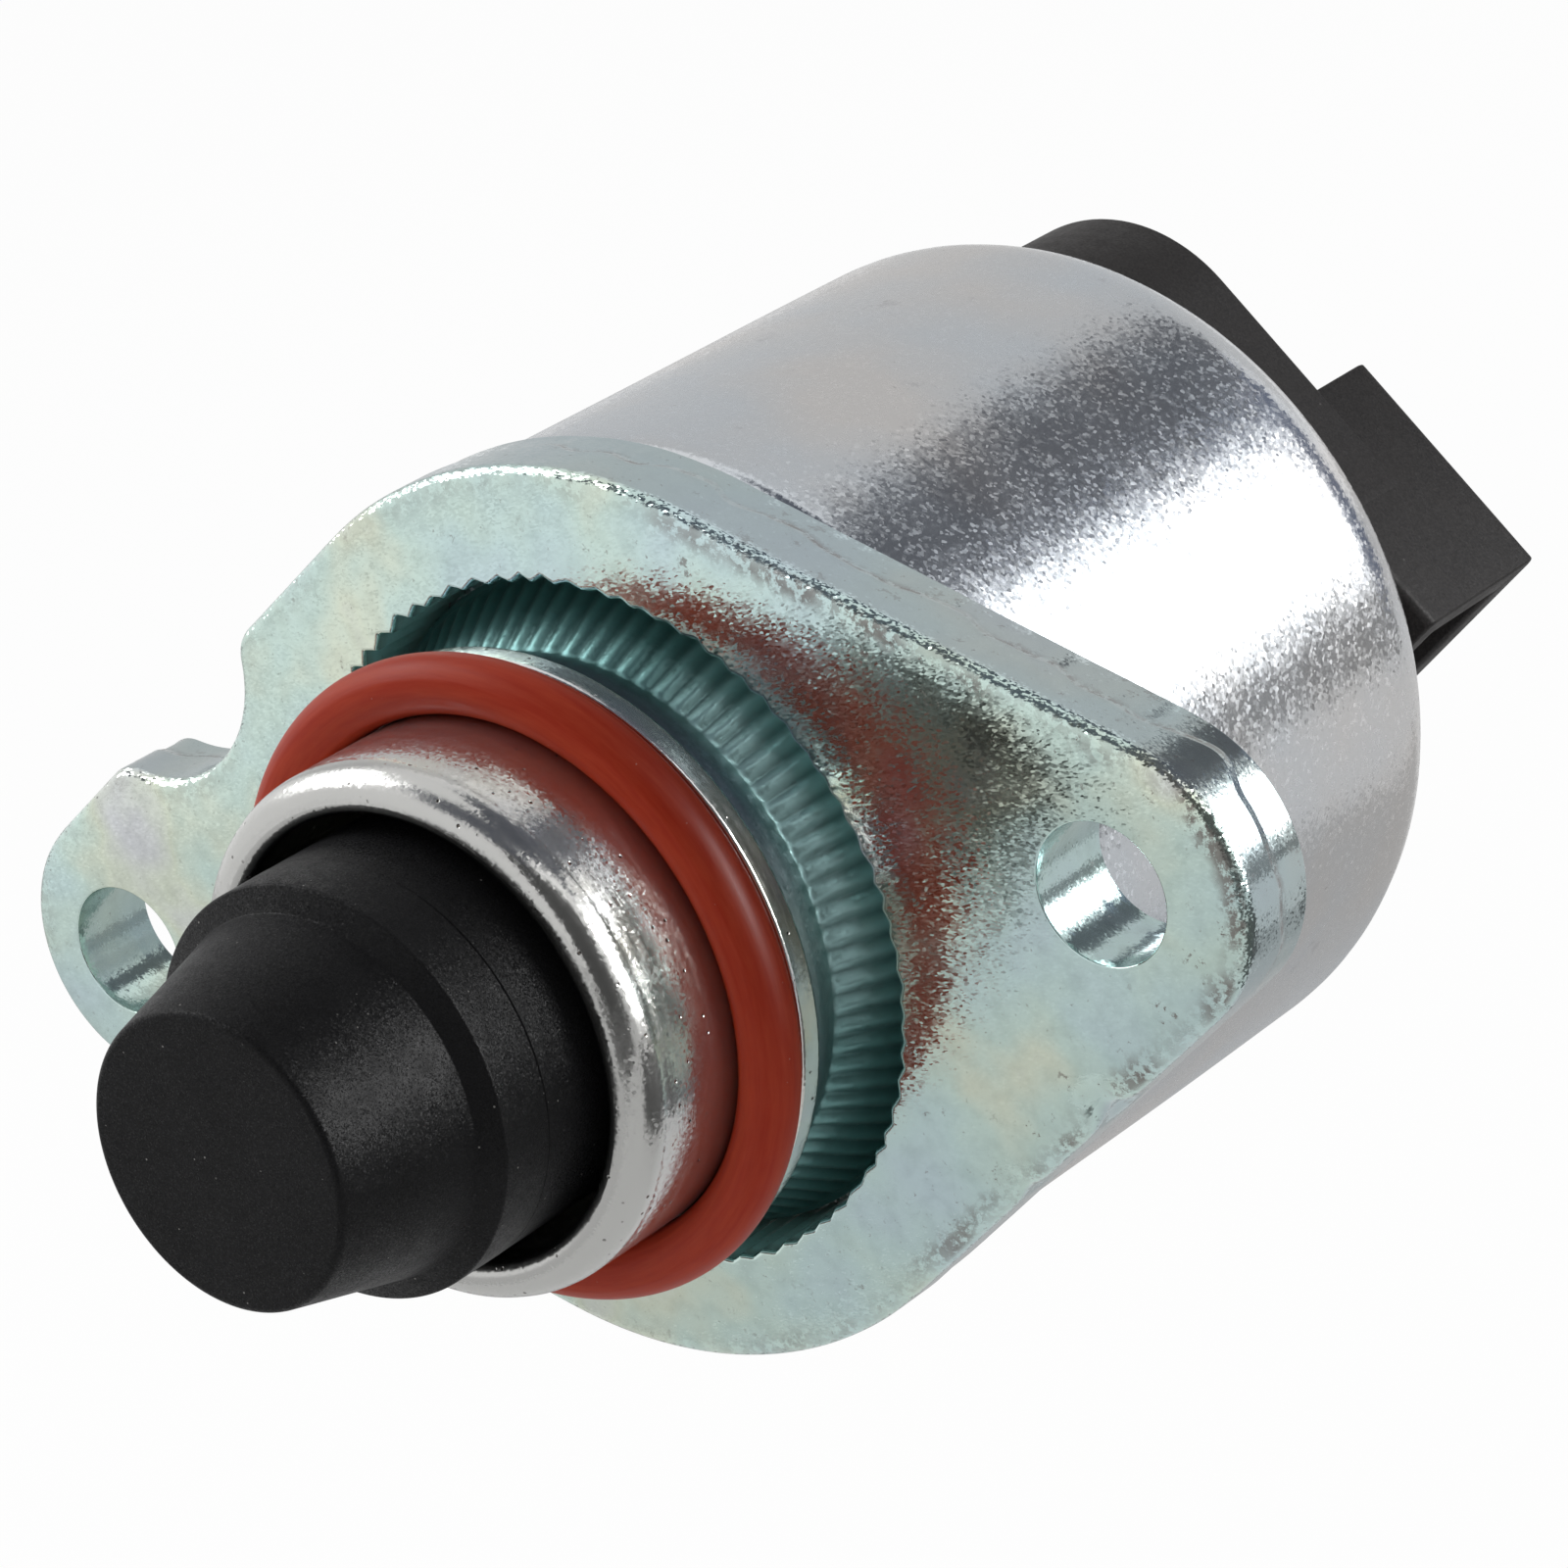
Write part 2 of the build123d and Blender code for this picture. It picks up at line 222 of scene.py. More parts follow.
def smooth_step(low: float, high: float, value: Array) -> Array:
    """Rises from 0 at low to 1 at high as 3t^2 - 2t^3."""
    share = np.clip((value - low) / (high - low), 0, 1)
    return share * share * (3 - 2 * share)


def smooth_fall(low: float, high: float, value: Array) -> Array:
    """Falls from 1 at low to 0 at high, as the rise turned over."""
    return 1 - smooth_step(low, high, value)


def bell(value: Array, width: float) -> Array:
    """Bell curve: e to the power of -(value / width)^2."""
    return np.exp(-((value / width) ** 2))


def rounded_teeth(turn: Array, count: int, sharpness: float) -> Array:
    """Wave round a circle, 0 in the valleys and 1 on the tips: |cos(count t / 2)| to a sharpness."""
    return np.abs(np.cos(count * turn / 2)) ** sharpness


def zigzag(turn: Array, count: int) -> Array:
    """Straight-sided wave round a circle from 0 to 1 and back: arccos(cos(count t)) / pi."""
    return np.arccos(np.cos(count * turn)) / math.pi


def inside(points: Array, loop: Array) -> Array:
    """Tells which points lie in a closed loop: a ray to the right crosses its edges an odd number of times.

    Args:
        points: array of shape (n, 2).
        loop: corners of shape (m, 2).
    Returns:
        True or False for each point.
    """
    x, z = points[:, None, 0], points[:, None, 1]
    start, end = loop[None], np.roll(loop, -1, 0)[None]
    straddles = (start[..., 1] > z) != (end[..., 1] > z)
    rise = np.where(straddles, end[..., 1] - start[..., 1], 1.0)
    crossing = start[..., 0] + (z - start[..., 1]) * (end[..., 0] - start[..., 0]) / rise
    return (straddles & (x < crossing)).sum(1) % 2 == 1


@dataclass(frozen=True)
class Unevenness:
    """Smooth random wave: its usual height, the number of points it is averaged over and its seed."""

    height: float
    reach: int
    seed: int

    def along(self, count: int) -> Array:
        """Wave round a closed path: noise averaged over its neighbours, then scaled to the height.

        Args:
            count: points on the path.
        Returns:
            Column with one value for each point.
        """
        noise = np.random.default_rng(self.seed).standard_normal(count)
        wave = np.fft.irfft(np.fft.rfft(noise) * np.fft.rfft(np.hanning(self.reach), count), count)
        return (self.height * wave / wave.std())[:, None]


class Skin:
    """Gathers the surfaces of one piece and closes them into a mesh."""

    def __init__(self, name: str) -> None:
        """Starts an empty piece.

        Args:
            name: the piece's name.
        """
        self.name = name
        self.points: list[Array] = []
        self.faces: list[list[int]] = []
        self.marks: dict[str, list[Array]] = {}
        self.count = 0

    def _take(self, points: Array, marks: dict[str, Array]) -> int:
        """Stores points with their marks, 0 where a mark is not given.

        Args:
            points: array of shape (n, 3), millimetres.
            marks: values for the points, by their names.
        Returns:
            The first point's number.
        """
        start = self.count
        for key in {**self.marks, **marks}:
            kept = self.marks.setdefault(key, [np.zeros(start)])
            kept.append(np.broadcast_to(marks.get(key, 0.0), len(points)).astype(float))
        self.points.append(points)
        self.count += len(points)
        return start

    def grid(self, points: Array, wrap_u: bool = True, wrap_v: bool = True, **marks: Array | float) -> None:
        """Adds a grid of quads.

        Args:
            points: array of shape (nu, nv, 3), millimetres.
            wrap_u: True if the last row joins the first.
            wrap_v: True if the last column joins the first.
            marks: values of shape (nu, nv) kept on the points under their names.
        """
        rows, columns = points.shape[:2]
        flat = {key: np.broadcast_to(value, (rows, columns)).ravel() for key, value in marks.items()}
        start = self._take(points.reshape(-1, 3), flat)
        u = np.arange(rows if wrap_u else rows - 1)[:, None]
        v = np.arange(columns if wrap_v else columns - 1)[None, :]
        u_next = (u + 1) % rows
        v_next = (v + 1) % columns
        corners = [u * columns + v, u_next * columns + v, u_next * columns + v_next, u * columns + v_next]
        quads = np.stack([np.broadcast_to(c, (u.size, v.size)) for c in corners], -1)
        self.faces.extend((quads.reshape(-1, 4) + start).tolist())

    def sheet(self, points: Array, faces: list[list[int]], **marks: Array) -> None:
        """Adds loose faces given by their corners."""
        start = self._take(points, marks)
        self.faces.extend([start + k for k in face] for face in faces)

    def tube(self, points: Array) -> None:
        """Adds a grid that runs round in its rows and is shut at its first and last column.

        Args:
            points: array of shape (nu, nv, 3), millimetres.
        """
        self.grid(points, wrap_v=False)
        for end in (0, -1):
            self.sheet(points[:, end], [list(range(len(points)))])

    def build(self, sharp: float = 35.0) -> bpy.types.Object:
        """Merges the seams, turns every face outwards and makes the object.

        Args:
            sharp: angle in degrees above which an edge stays sharp.
        Returns:
            The object, at the origin.
        """
        mesh = bpy.data.meshes.new(self.name)
        mesh.from_pydata((np.concatenate(self.points) * MM).tolist(), [], self.faces)
        for key, values in self.marks.items():
            layer = mesh.attributes.new(key, "FLOAT", "POINT")
            layer.data.foreach_set("value", np.concatenate(values).astype(np.float32))
        work = bmesh.new()
        work.from_mesh(mesh)
        bmesh.ops.remove_doubles(work, verts=work.verts, dist=SEAM_GAP * MM)
        bmesh.ops.recalc_face_normals(work, faces=work.faces)
        work.to_mesh(mesh)
        work.free()
        mesh.polygons.foreach_set("use_smooth", np.ones(len(mesh.polygons), bool))
        mesh.set_sharp_from_angle(angle=math.radians(sharp))
        piece = bpy.data.objects.new(self.name, mesh)
        bpy.context.scene.collection.objects.link(piece)
        return piece


def lathe(
    name: str, profile: Array, count: int, ripple: Array | float = 0.0, closed: bool = True, **marks: Array
) -> bpy.types.Object:
    """Turns a profile about the axis and makes it a piece.

    Args:
        name: the piece's name.
        profile: (radius, position) points of shape (n, 2).
        count: points round the axis.
        ripple: change of radius.
        closed: True if the profile's last point joins its first.
        marks: values kept on the points under their names.
    Returns:
        The piece.
    """
    skin = Skin(name)
    skin.grid(turned(profile, count, ripple), wrap_v=closed, **marks)
    return skin.build()


# Finishes


@dataclass(frozen=True)
class Cloud:
    """Noise with features of a size in millimetres, its low..high stretched to first..last."""

    size: float
    low: float = 0.3
    high: float = 0.7
    first: float = 0.0
    last: float = 1.0
    detail: float = 3.0
    rough: float = 0.5


class Nodes:
    """Short calls for the nodes of one material or world."""

    def __init__(self, owner: bpy.types.Material | bpy.types.World) -> None:
        """Starts with an empty tree.

        Args:
            owner: the material or the world.
        """
        owner.use_nodes = True
        self.owner = owner
        self.tree = owner.node_tree
        self.tree.nodes.clear()

    @cached_property
    def place(self) -> Socket:
        """Object coordinates."""
        return self.node("TexCoord").outputs["Object"]

    def feed(self, socket: Socket, value: Value) -> None:
        """Links a socket or sets its value.

        Args:
            socket: an input.
            value: what it gets: another socket, a number or a colour.
        """
        if isinstance(value, bpy.types.NodeSocket):
            self.tree.links.new(value, socket)
        elif isinstance(value, tuple):
            socket.default_value = (*value, 1.0) if len(socket.default_value) == 4 else value
        else:
            socket.default_value = value

    def node(
        self, kind: str, inputs: dict[str | int, Value] | None = None, **options: str | bool
    ) -> bpy.types.Node:
        """Adds a node.

        Args:
            kind: the node's type, without the words that all shader nodes share.
            inputs: what its inputs get, by their names or numbers.
            options: its own settings.
        Returns:
            The node.
        """
        made = self.tree.nodes.new("ShaderNode" + kind)
        for key, option in options.items():
            setattr(made, key, option)
        for key, value in (inputs or {}).items():
            self.feed(made.inputs[key], value)
        return made

    def maths(self, operation: str, *values: Socket | float, clamp: bool = False) -> Socket:
        """One arithmetic step."""
        return self.node("Math", dict(enumerate(values)), operation=operation, use_clamp=clamp).outputs[0]

    def times(self, first: Socket | float, second: Socket | float) -> Socket:
        """Product of two values."""
        return self.maths("MULTIPLY", first, second)

    def between(
        self, value: Socket, low: float, high: float, first: float = 0.0, last: float = 1.0
    ) -> Socket:
        """Maps low..high to first..last and stops at the ends."""
        inputs = {"Value": value, "From Min": low, "From Max": high, "To Min": first, "To Max": last}
        return self.node("MapRange", inputs).outputs["Result"]

    def seen_rays(self) -> Socket:
        """Tells rays from the camera, from gloss and through glass, as 1, from the rest, as 0.

        Returns:
            The value.
        """
        rays = self.node("LightPath").outputs
        seen = self.maths("MAXIMUM", rays["Is Camera Ray"], rays["Is Glossy Ray"])
        return self.maths("MAXIMUM", seen, rays["Is Transmission Ray"])


class Graph(Nodes):
    """Patterns and colours for one piece's material, round a Principled shader."""

    grain_lean: Span = (0.4, 0.9)
    line_detail: Span = (3.0, 0.6)

    def __init__(self, name: str) -> None:
        """Starts a material.

        Args:
            name: the material's name.
        """
        super().__init__(bpy.data.materials.new(name))
        self.shader = self.node("BsdfPrincipled")
        self.node("OutputMaterial", {"Surface": self.shader.outputs[0]})

    def set(self, **values: Value) -> None:
        """Feeds the shader.

        Args:
            values: what the inputs get, by their names in small letters with _ for a space.
        """
        inputs = {socket.name.lower().replace(" ", "_"): socket for socket in self.shader.inputs}
        for key, value in values.items():
            self.feed(inputs[key], value)

    def noise(self, size: float, detail: float = 2.0, rough: float = 0.5, at: Socket | None = None) -> Socket:
        """Cloudy value from 0 to 1 with features of a size in millimetres."""
        inputs = {"Vector": at or self.place, "Scale": 1 / (size * MM), "Detail": detail, "Roughness": rough}
        return self.node("TexNoise", inputs).outputs["Fac"]

    def cloud(self, cloud: Cloud, at: Socket | None = None) -> Socket:
        """Noise of a cloud, stretched to its ends."""
        value = self.noise(cloud.size, cloud.detail, cloud.rough, at)
        return self.between(value, cloud.low, cloud.high, cloud.first, cloud.last)

    def cells(self, size: float) -> Socket:
        """Distance to the nearest of scattered points, a cell's size in millimetres apart."""
        return self.node("TexVoronoi", {"Vector": self.place, "Scale": 1 / (size * MM)}).outputs["Distance"]

    def grains(self, size: float, stretch: float = 1.0) -> Socket:
        """Three random numbers for each grain of a size in millimetres, drawn out along X."""
        drawn = self.vector("MULTIPLY", self.place, (1 / stretch, 1.0, 1.0))
        return self.node("TexVoronoi", {"Vector": drawn, "Scale": 1 / (size * MM)}).outputs["Color"]

    def mark(self, name: str) -> Socket:
        """Value kept on the piece's points under a name."""
        return self.node("Attribute", attribute_name=name).outputs["Fac"]

    def fade(self, name: str, last: float) -> Socket:
        """1 where a mark is 0, going to another value where it is 1."""
        return self.between(self.mark(name), 0.0, 1.0, 1.0, last)

    def vector(self, operation: str, *values: Socket | Colour) -> Socket:
        """One step with vectors."""
        return self.node("VectorMath", dict(enumerate(values)), operation=operation).outputs[0]

    def blend(
        self, share: Socket | float, first: Socket | Colour, second: Socket | Colour, mode: str = "MIX"
    ) -> Socket:
        """Mixes two colours."""
        inputs = {0: share, 6: first, 7: second}
        return self.node("Mix", inputs, data_type="RGBA", blend_type=mode).outputs[2]

    def ramp(self, share: Socket, stops: tuple[tuple[float, Colour], ...]) -> Socket:
        """Colour read off a row of stops.

        Args:
            share: place in the row.
            stops: (place, colour) of each stop.
        Returns:
            The colour.
        """
        node = self.node("ValToRGB", {"Fac": share})
        elements = node.color_ramp.elements
        while len(elements) < len(stops):
            elements.new(0.5)
        for element, (position, colour) in zip(elements, stops):
            element.position = position
            element.color = (*colour, 1.0)
        return node.outputs["Color"]

    def bump(self, height: Socket, depth: float, under: Socket | None = None) -> Socket:
        """Normal of a raised surface.

        Args:
            height: how far each place is raised.
            depth: millimetres for a height of 1.
            under: normal below.
        Returns:
            The normal.
        """
        inputs = {"Height": height, "Distance": depth * MM}
        if under is not None:
            inputs["Normal"] = under
        return self.node("Bump", inputs).outputs["Normal"]

    def fine_lines(self, size: float, depth: float, ring: Socket) -> Socket:
        """Normal of fine lines that run round the axis, of a width and a depth in millimetres."""
        return self.bump(self.noise(size, *self.line_detail, ring), depth)

    def facets(
        self, size: float, tilt: float, under: Socket, boost: Socket | None = None, stretch: float = 1.0
    ) -> Socket:
        """Normal of a surface broken into grains, each tipped its own way: most a little, a few a lot.

        A grain's random numbers u from -1 to 1 lean the normal by tilt x u x (0.4 + 0.9 u^2).

        Args:
            size: a grain's size in millimetres.
            tilt: sideways part of a far-leaning grain's normal.
            under: normal below the grains.
            boost: times that the tilt is taken.
            stretch: length of a grain along X for one across.
        Returns:
            The normal.
        """
        least, more = (part * tilt for part in self.grain_lean)
        chance = self.vector("MULTIPLY_ADD", self.grains(size, stretch), (2.0,) * 3, (-1.0,) * 3)
        share = self.vector("MULTIPLY", chance, chance)
        share = self.vector("MULTIPLY_ADD", share, (more,) * 3, (least,) * 3)
        lean = self.vector("MULTIPLY", chance, share)
        if boost is not None:
            lean = self.vector("MULTIPLY", lean, boost)
        return self.vector("NORMALIZE", self.vector("ADD", under, lean))

    def polar(self, round_share: float) -> Socket:
        """Place as (radius, position, turn), the turn shrunk, so that a pattern is drawn out round the axis.

        Args:
            round_share: millimetres that stand for a radian.
        Returns:
            The place.
        """
        x, y, z = self.node("SeparateXYZ", {0: self.place}).outputs
        turn = self.maths("ARCTAN2", z, x)
        radius = self.maths("SQRT", self.maths("ADD", self.times(x, x), self.times(z, z)))
        return self.node("CombineXYZ", {0: radius, 1: y, 2: self.times(turn, round_share * MM)}).outputs[0]


class Finish:
    """Look of one material slot."""

    def paint(self, g: Graph) -> None:
        """Feeds the graph's shader.

        Args:
            g: the material's nodes.
        """
        raise NotImplementedError

    def material(self, name: str) -> bpy.types.Material:
        """Makes the material.

        Args:
            name: the material's name.
        Returns:
            The material.
        """
        g = Graph(name)
        self.paint(g)
        return g.owner


@dataclass(frozen=True)
class FlangeZinc(Finish):
    """Satin zinc plate: pale green, cream, blue and rose clouds, fine grain, brown wear along the edges."""

    clouds: tuple[tuple[float, Colour], ...] = (
        (0.30, (0.54, 0.66, 0.71)),
        (0.43, (0.55, 0.70, 0.69)),
        (0.52, (0.58, 0.72, 0.66)),
        (0.61, (0.66, 0.72, 0.60)),
        (0.72, (0.63, 0.65, 0.67)),
    )
    cloud_size: float = 9.0
    cloud_detail: float = 3.0
    mottle: Cloud = Cloud(0.9, first=0.90, last=1.06)
    side: Colour = (0.47, 0.54, 0.58)
    side_share: float = 0.7
    # Hole wall tint: partly the plating's colour, partly painted interreflection.
    groove: Colour = (0.48, 0.79, 0.75)
    groove_metal: float = 0.12
    wear: Colour = (0.17, 0.13, 0.12)
    wear_haze: float = 0.25
    rubbed: Cloud = Cloud(0.40, 0.44, 0.52, detail=4.0, rough=0.7)
    rubbed_patches: Cloud = Cloud(3.5, 0.42, 0.56, first=0.25, detail=2.0)
    scars: Cloud = Cloud(1.1, 0.60, 0.64, detail=6.0, rough=0.78)
    specks: Cloud = Cloud(0.35, 0.64, 0.70, last=0.45, detail=4.0, rough=0.7)
    haze: Cloud = Cloud(2.5, first=0.11, last=0.18)
    wave_size: float = 1.8
    wave_depth: float = 0.006
    grain_size: float = 0.075
    grain_stretch: float = 2.2
    grain_tilt: float = 0.042
    roll_boost: float = 4.5

    def paint(self, g: Graph) -> None:
        """Clouds, then the edge's side, the hole's wall and the wear; grain over a slight wave.

        Args:
            g: the material's nodes.
        """
        tint = g.ramp(g.noise(self.cloud_size, self.cloud_detail), self.clouds)
        tint = g.blend(1.0, tint, g.maths("MINIMUM", g.cloud(self.mottle), 1.0), "MULTIPLY")
        tint = g.blend(g.times(g.mark("side"), self.side_share), tint, self.side)
        # Hole wall tint, partly plating colour and partly painted interreflection.
        tint = g.blend(g.mark("groove"), tint, self.groove)
        rubbed = g.times(g.cloud(self.rubbed), g.cloud(self.rubbed_patches))
        rubbed = g.times(rubbed, g.mark("edge"))
        scars = g.times(g.cloud(self.scars), g.mark("near"))
        worn = g.maths("MAXIMUM", g.maths("MAXIMUM", scars, rubbed), g.cloud(self.specks), clamp=True)
        rough = g.maths("ADD", g.cloud(self.haze), g.times(worn, self.wear_haze))
        normal = g.bump(g.noise(self.wave_size), self.wave_depth)
        boost = g.fade("roll", self.roll_boost)
        normal = g.facets(self.grain_size, self.grain_tilt, normal, boost, self.grain_stretch)
        colour = g.blend(worn, tint, self.wear)
        g.set(base_color=colour, roughness=rough, metallic=g.fade("groove", self.groove_metal), normal=normal)


@dataclass(frozen=True)
class CanZinc(Finish):
    """Brighter zinc plate over drawn steel: cool grey with a salt-and-pepper grain."""

    colour: Colour = (0.595, 0.630, 0.665)
    warm: Colour = (0.65, 0.635, 0.625)
    warm_patches: Cloud = Cloud(11.0, 0.40, 0.64)
    smudge: Colour = (0.40, 0.40, 0.42)
    smudges: Cloud = Cloud(2.4, 0.62, 0.69, last=0.4, detail=5.0, rough=0.72)
    speck: Colour = (0.30, 0.29, 0.29)
    specks: Cloud = Cloud(0.5, 0.70, 0.74, last=0.5, detail=4.0, rough=0.7)
    haze: Cloud = Cloud(3.0, first=0.15, last=0.20)
    wave_size: float = 2.6
    wave_depth: float = 0.003
    grain_size: float = 0.14
    grain_tilt: float = 0.045
    grain_haze: float = 0.22
    hazy_grains: Span = (0.55, 0.95)

    def paint(self, g: Graph) -> None:
        """Warm patches, smudges and specks; some grains are hazier than the rest.

        Args:
            g: the material's nodes.
        """
        tint = g.blend(g.cloud(self.warm_patches), self.colour, self.warm)
        tint = g.blend(g.cloud(self.smudges), tint, self.smudge)
        colour = g.blend(g.cloud(self.specks), tint, self.speck)
        hazier = g.between(g.grains(self.grain_size), *self.hazy_grains, 0.0, self.grain_haze)
        rough = g.maths("ADD", g.cloud(self.haze), hazier)
        normal = g.bump(g.noise(self.wave_size), self.wave_depth)
        normal = g.facets(self.grain_size, self.grain_tilt, normal)
        g.set(base_color=colour, roughness=rough, metallic=1.0, normal=normal)


@dataclass(frozen=True)
class NoseZinc(Finish):
    """Bright zinc plate on a turned tube: lines round it, dark pits, a green tint down in the groove that is
    partly plating colour and partly painted interreflection and shade, with painted shade in the ridge
    valleys and painted light on one side of the groove and on the neck's low side.
    """

    colour: Colour = (0.63, 0.635, 0.64)
    cream: Colour = (0.66, 0.645, 0.60)
    cream_patches: Cloud = Cloud(4.0, 0.4, 0.6)
    lip: Colour = (0.51, 0.51, 0.495)
    # Groove tint: partly the plating's colour, partly painted interreflection and painted shade down in the
    # groove.
    groove: Colour = (0.135, 0.285, 0.280)
    # Painted light: the ridges are lighter on one side of the groove.
    pale_groove: Colour = (0.36, 0.57, 0.57)
    # Painted shade in the valleys between the ridges.
    valley: Colour = (0.020, 0.050, 0.050)
    valley_share: float = 0.58
    # Painted shade on the neck, with painted light on its low side.
    neck: Colour = (0.20, 0.225, 0.28)
    pale_neck: Colour = (0.62, 0.72, 0.75)
    neck_haze: float = 0.16
    pit: Colour = (0.10, 0.09, 0.08)
    pit_spacing: float = 0.6
    pit_edge: Span = (0.14, 0.08)
    pit_patches: Cloud = Cloud(1.4, 0.48, 0.56)
    pit_depth: float = 0.02
    ring_share: float = 2.0
    haze: Cloud = Cloud(0.5, first=0.14, last=0.25, rough=0.6)
    line_size: float = 0.12
    line_depth: float = 0.004
    grain_size: float = 0.12
    grain_tilt: float = 0.042
    film_metal: float = 0.91
    groove_film: float = 0.34
    groove_film_fall: float = 4.0

    def paint(self, g: Graph) -> None:
        """Colours by the marks for lip, neck, groove and valleys, with painted shade on the neck and in the
        valleys and painted light on one side of the groove and on the neck's low side; a dull film on tube
        and groove.

        Args:
            g: the material's nodes.
        """
        ring = g.polar(self.ring_share)
        tint = g.blend(g.cloud(self.cream_patches), self.colour, self.cream)
        tint = g.blend(g.mark("lip"), tint, self.lip)
        # Painted shade on the neck, lighter on its low side as painted light.
        tint = g.blend(g.mark("neck"), tint, g.blend(g.mark("low"), self.neck, self.pale_neck))
        # Groove tint, partly plating colour and partly painted interreflection and shade, with painted light
        # on one side of the groove.
        tint = g.blend(g.mark("groove"), tint, g.blend(g.mark("pale"), self.groove, self.pale_groove))
        # Painted shade in the ridge valleys.
        tint = g.blend(g.times(g.mark("valley"), self.valley_share), tint, self.valley)
        pits = g.times(g.between(g.cells(self.pit_spacing), *self.pit_edge), g.cloud(self.pit_patches))
        pits = g.maths("SUBTRACT", pits, g.mark("neck"), clamp=True)
        colour = g.blend(pits, tint, self.pit)
        rough = g.maths("ADD", g.cloud(self.haze, ring), g.times(g.mark("neck"), self.neck_haze))
        normal = g.bump(pits, -self.pit_depth, g.fine_lines(self.line_size, self.line_depth, ring))
        normal = g.facets(self.grain_size, self.grain_tilt, normal)
        filmed = g.times(g.maths("POWER", g.mark("groove"), self.groove_film_fall), self.groove_film)
        metal = g.maths("SUBTRACT", g.fade("film", self.film_metal), filmed)
        g.set(base_color=colour, roughness=rough, metallic=metal, normal=normal)


@dataclass(frozen=True)
class RedRubber(Finish):
    """Satin brick-red rubber with faint lines round the ring and a little dust."""

    colour: Colour = (0.42, 0.029, 0.0075)
    dull: Colour = (0.50, 0.053, 0.018)
    streaks: Cloud = Cloud(0.35, 0.35, 0.70, detail=4.0, rough=0.65)
    haze: Cloud = Cloud(0.35, first=0.36, last=0.50, detail=4.0, rough=0.65)
    dust: Colour = (0.60, 0.42, 0.36)
    dust_spacing: float = 0.75
    dust_edge: Span = (0.055, 0.035)
    dust_patches: Cloud = Cloud(3.0, 0.5, 0.6, detail=2.0)
    dust_share: float = 0.5
    ring_share: float = 1.2
    line_size: float = 0.16
    line_depth: float = 0.006
    skin_size: float = 0.10
    skin_depth: float = 0.002
    gloss: float = 0.16

    def paint(self, g: Graph) -> None:
        """Streaks round the ring change colour and gloss together; dust lies over them.

        Args:
            g: the material's nodes.
        """
        ring = g.polar(self.ring_share)
        colour = g.blend(g.cloud(self.streaks, ring), self.colour, self.dull)
        dust = g.times(g.between(g.cells(self.dust_spacing), *self.dust_edge), g.cloud(self.dust_patches))
        colour = g.blend(g.times(dust, self.dust_share), colour, self.dust)
        normal = g.fine_lines(self.line_size, self.line_depth, ring)
        normal = g.bump(g.noise(self.skin_size), self.skin_depth, normal)
        rough = g.cloud(self.haze, ring)
        g.set(base_color=colour, roughness=rough, normal=normal, specular_ior_level=self.gloss)


@dataclass(frozen=True)
class MouldedPlastic(Finish):
    """Matte moulded plastic: fine spark-eroded grain, slight clouds and a few pale flecks."""

    colour: Colour
    cloud: Colour
    fleck: Colour
    roughness: float
    gloss: float
    clouds: Cloud = Cloud(3.0, 0.35, 0.65, detail=4.0)
    grain_size: float = 0.11
    grain_rough: float = 0.6
    grain_depth: float = 0.010
    grain_tilt: float = 0.06
    grain_tops: Span = (0.35, 0.65)
    grain_share: float = 0.6
    # Painted light on the grain's tops, painted shade in its pits.
    grain_top_painted_light: float = 2.2
    fleck_spacing: float = 1.1
    fleck_size: float = 0.035
    fleck_blur: float = 1.5
    fleck_share: float = 0.7
    fleck_patches: Cloud = Cloud(2.0, 0.50, 0.58, detail=2.0)
    haze_size: float = 0.8
    haze_spread: float = 0.06

    def paint(self, g: Graph) -> None:
        """Clouds of two tints, painted light on the grain's tops and painted shade in its pits, and flecks in
        patches.

        Args:
            g: the material's nodes.
        """
        tint = g.blend(g.cloud(self.clouds), self.colour, self.cloud)
        grain = g.noise(self.grain_size, rough=self.grain_rough)
        tops = g.between(grain, *self.grain_tops, 0.0, self.grain_share)
        # Painted light on the grain's tops, painted shade in its pits.
        tint = g.blend(tops, tint, tuple(self.grain_top_painted_light * part for part in self.cloud))
        fleck = g.between(g.cells(self.fleck_spacing), self.fleck_size * self.fleck_blur, self.fleck_size)
        fleck = g.times(fleck, g.cloud(self.fleck_patches))
        colour = g.blend(g.times(fleck, self.fleck_share), tint, self.fleck)
        least, most = self.roughness - self.haze_spread, self.roughness + self.haze_spread
        rough = g.cloud(Cloud(self.haze_size, first=least, last=most))
        normal = g.facets(self.grain_size, self.grain_tilt, g.bump(grain, self.grain_depth))
        g.set(base_color=colour, roughness=rough, normal=normal, specular_ior_level=self.gloss)


@dataclass(frozen=True)
class PlainMetal(Finish):
    """Bare or plated inner metal: fine turned lines and a slight change of shade."""

    colour: Colour
    roughness: float
    shade: float = 0.82
    shades: Cloud = Cloud(1.5, rough=0.6)
    ring_share: float = 3.0
    haze_size: float = 0.6
    haze_reach: Span = (-0.06, 0.08)
    line_size: float = 0.15
    line_depth: float = 0.003

    def paint(self, g: Graph) -> None:
        """Two shades in rings round the axis, with lines cut along them.

        Args:
            g: the material's nodes.
        """
        ring = g.polar(self.ring_share)
        darker = tuple(self.shade * part for part in self.colour)
        colour = g.blend(g.cloud(self.shades, ring), self.colour, darker)
        least, most = (self.roughness + part for part in self.haze_reach)
        rough = g.cloud(Cloud(self.haze_size, first=least, last=most))
        normal = g.fine_lines(self.line_size, self.line_depth, ring)
        g.set(base_color=colour, roughness=rough, metallic=1.0, normal=normal)


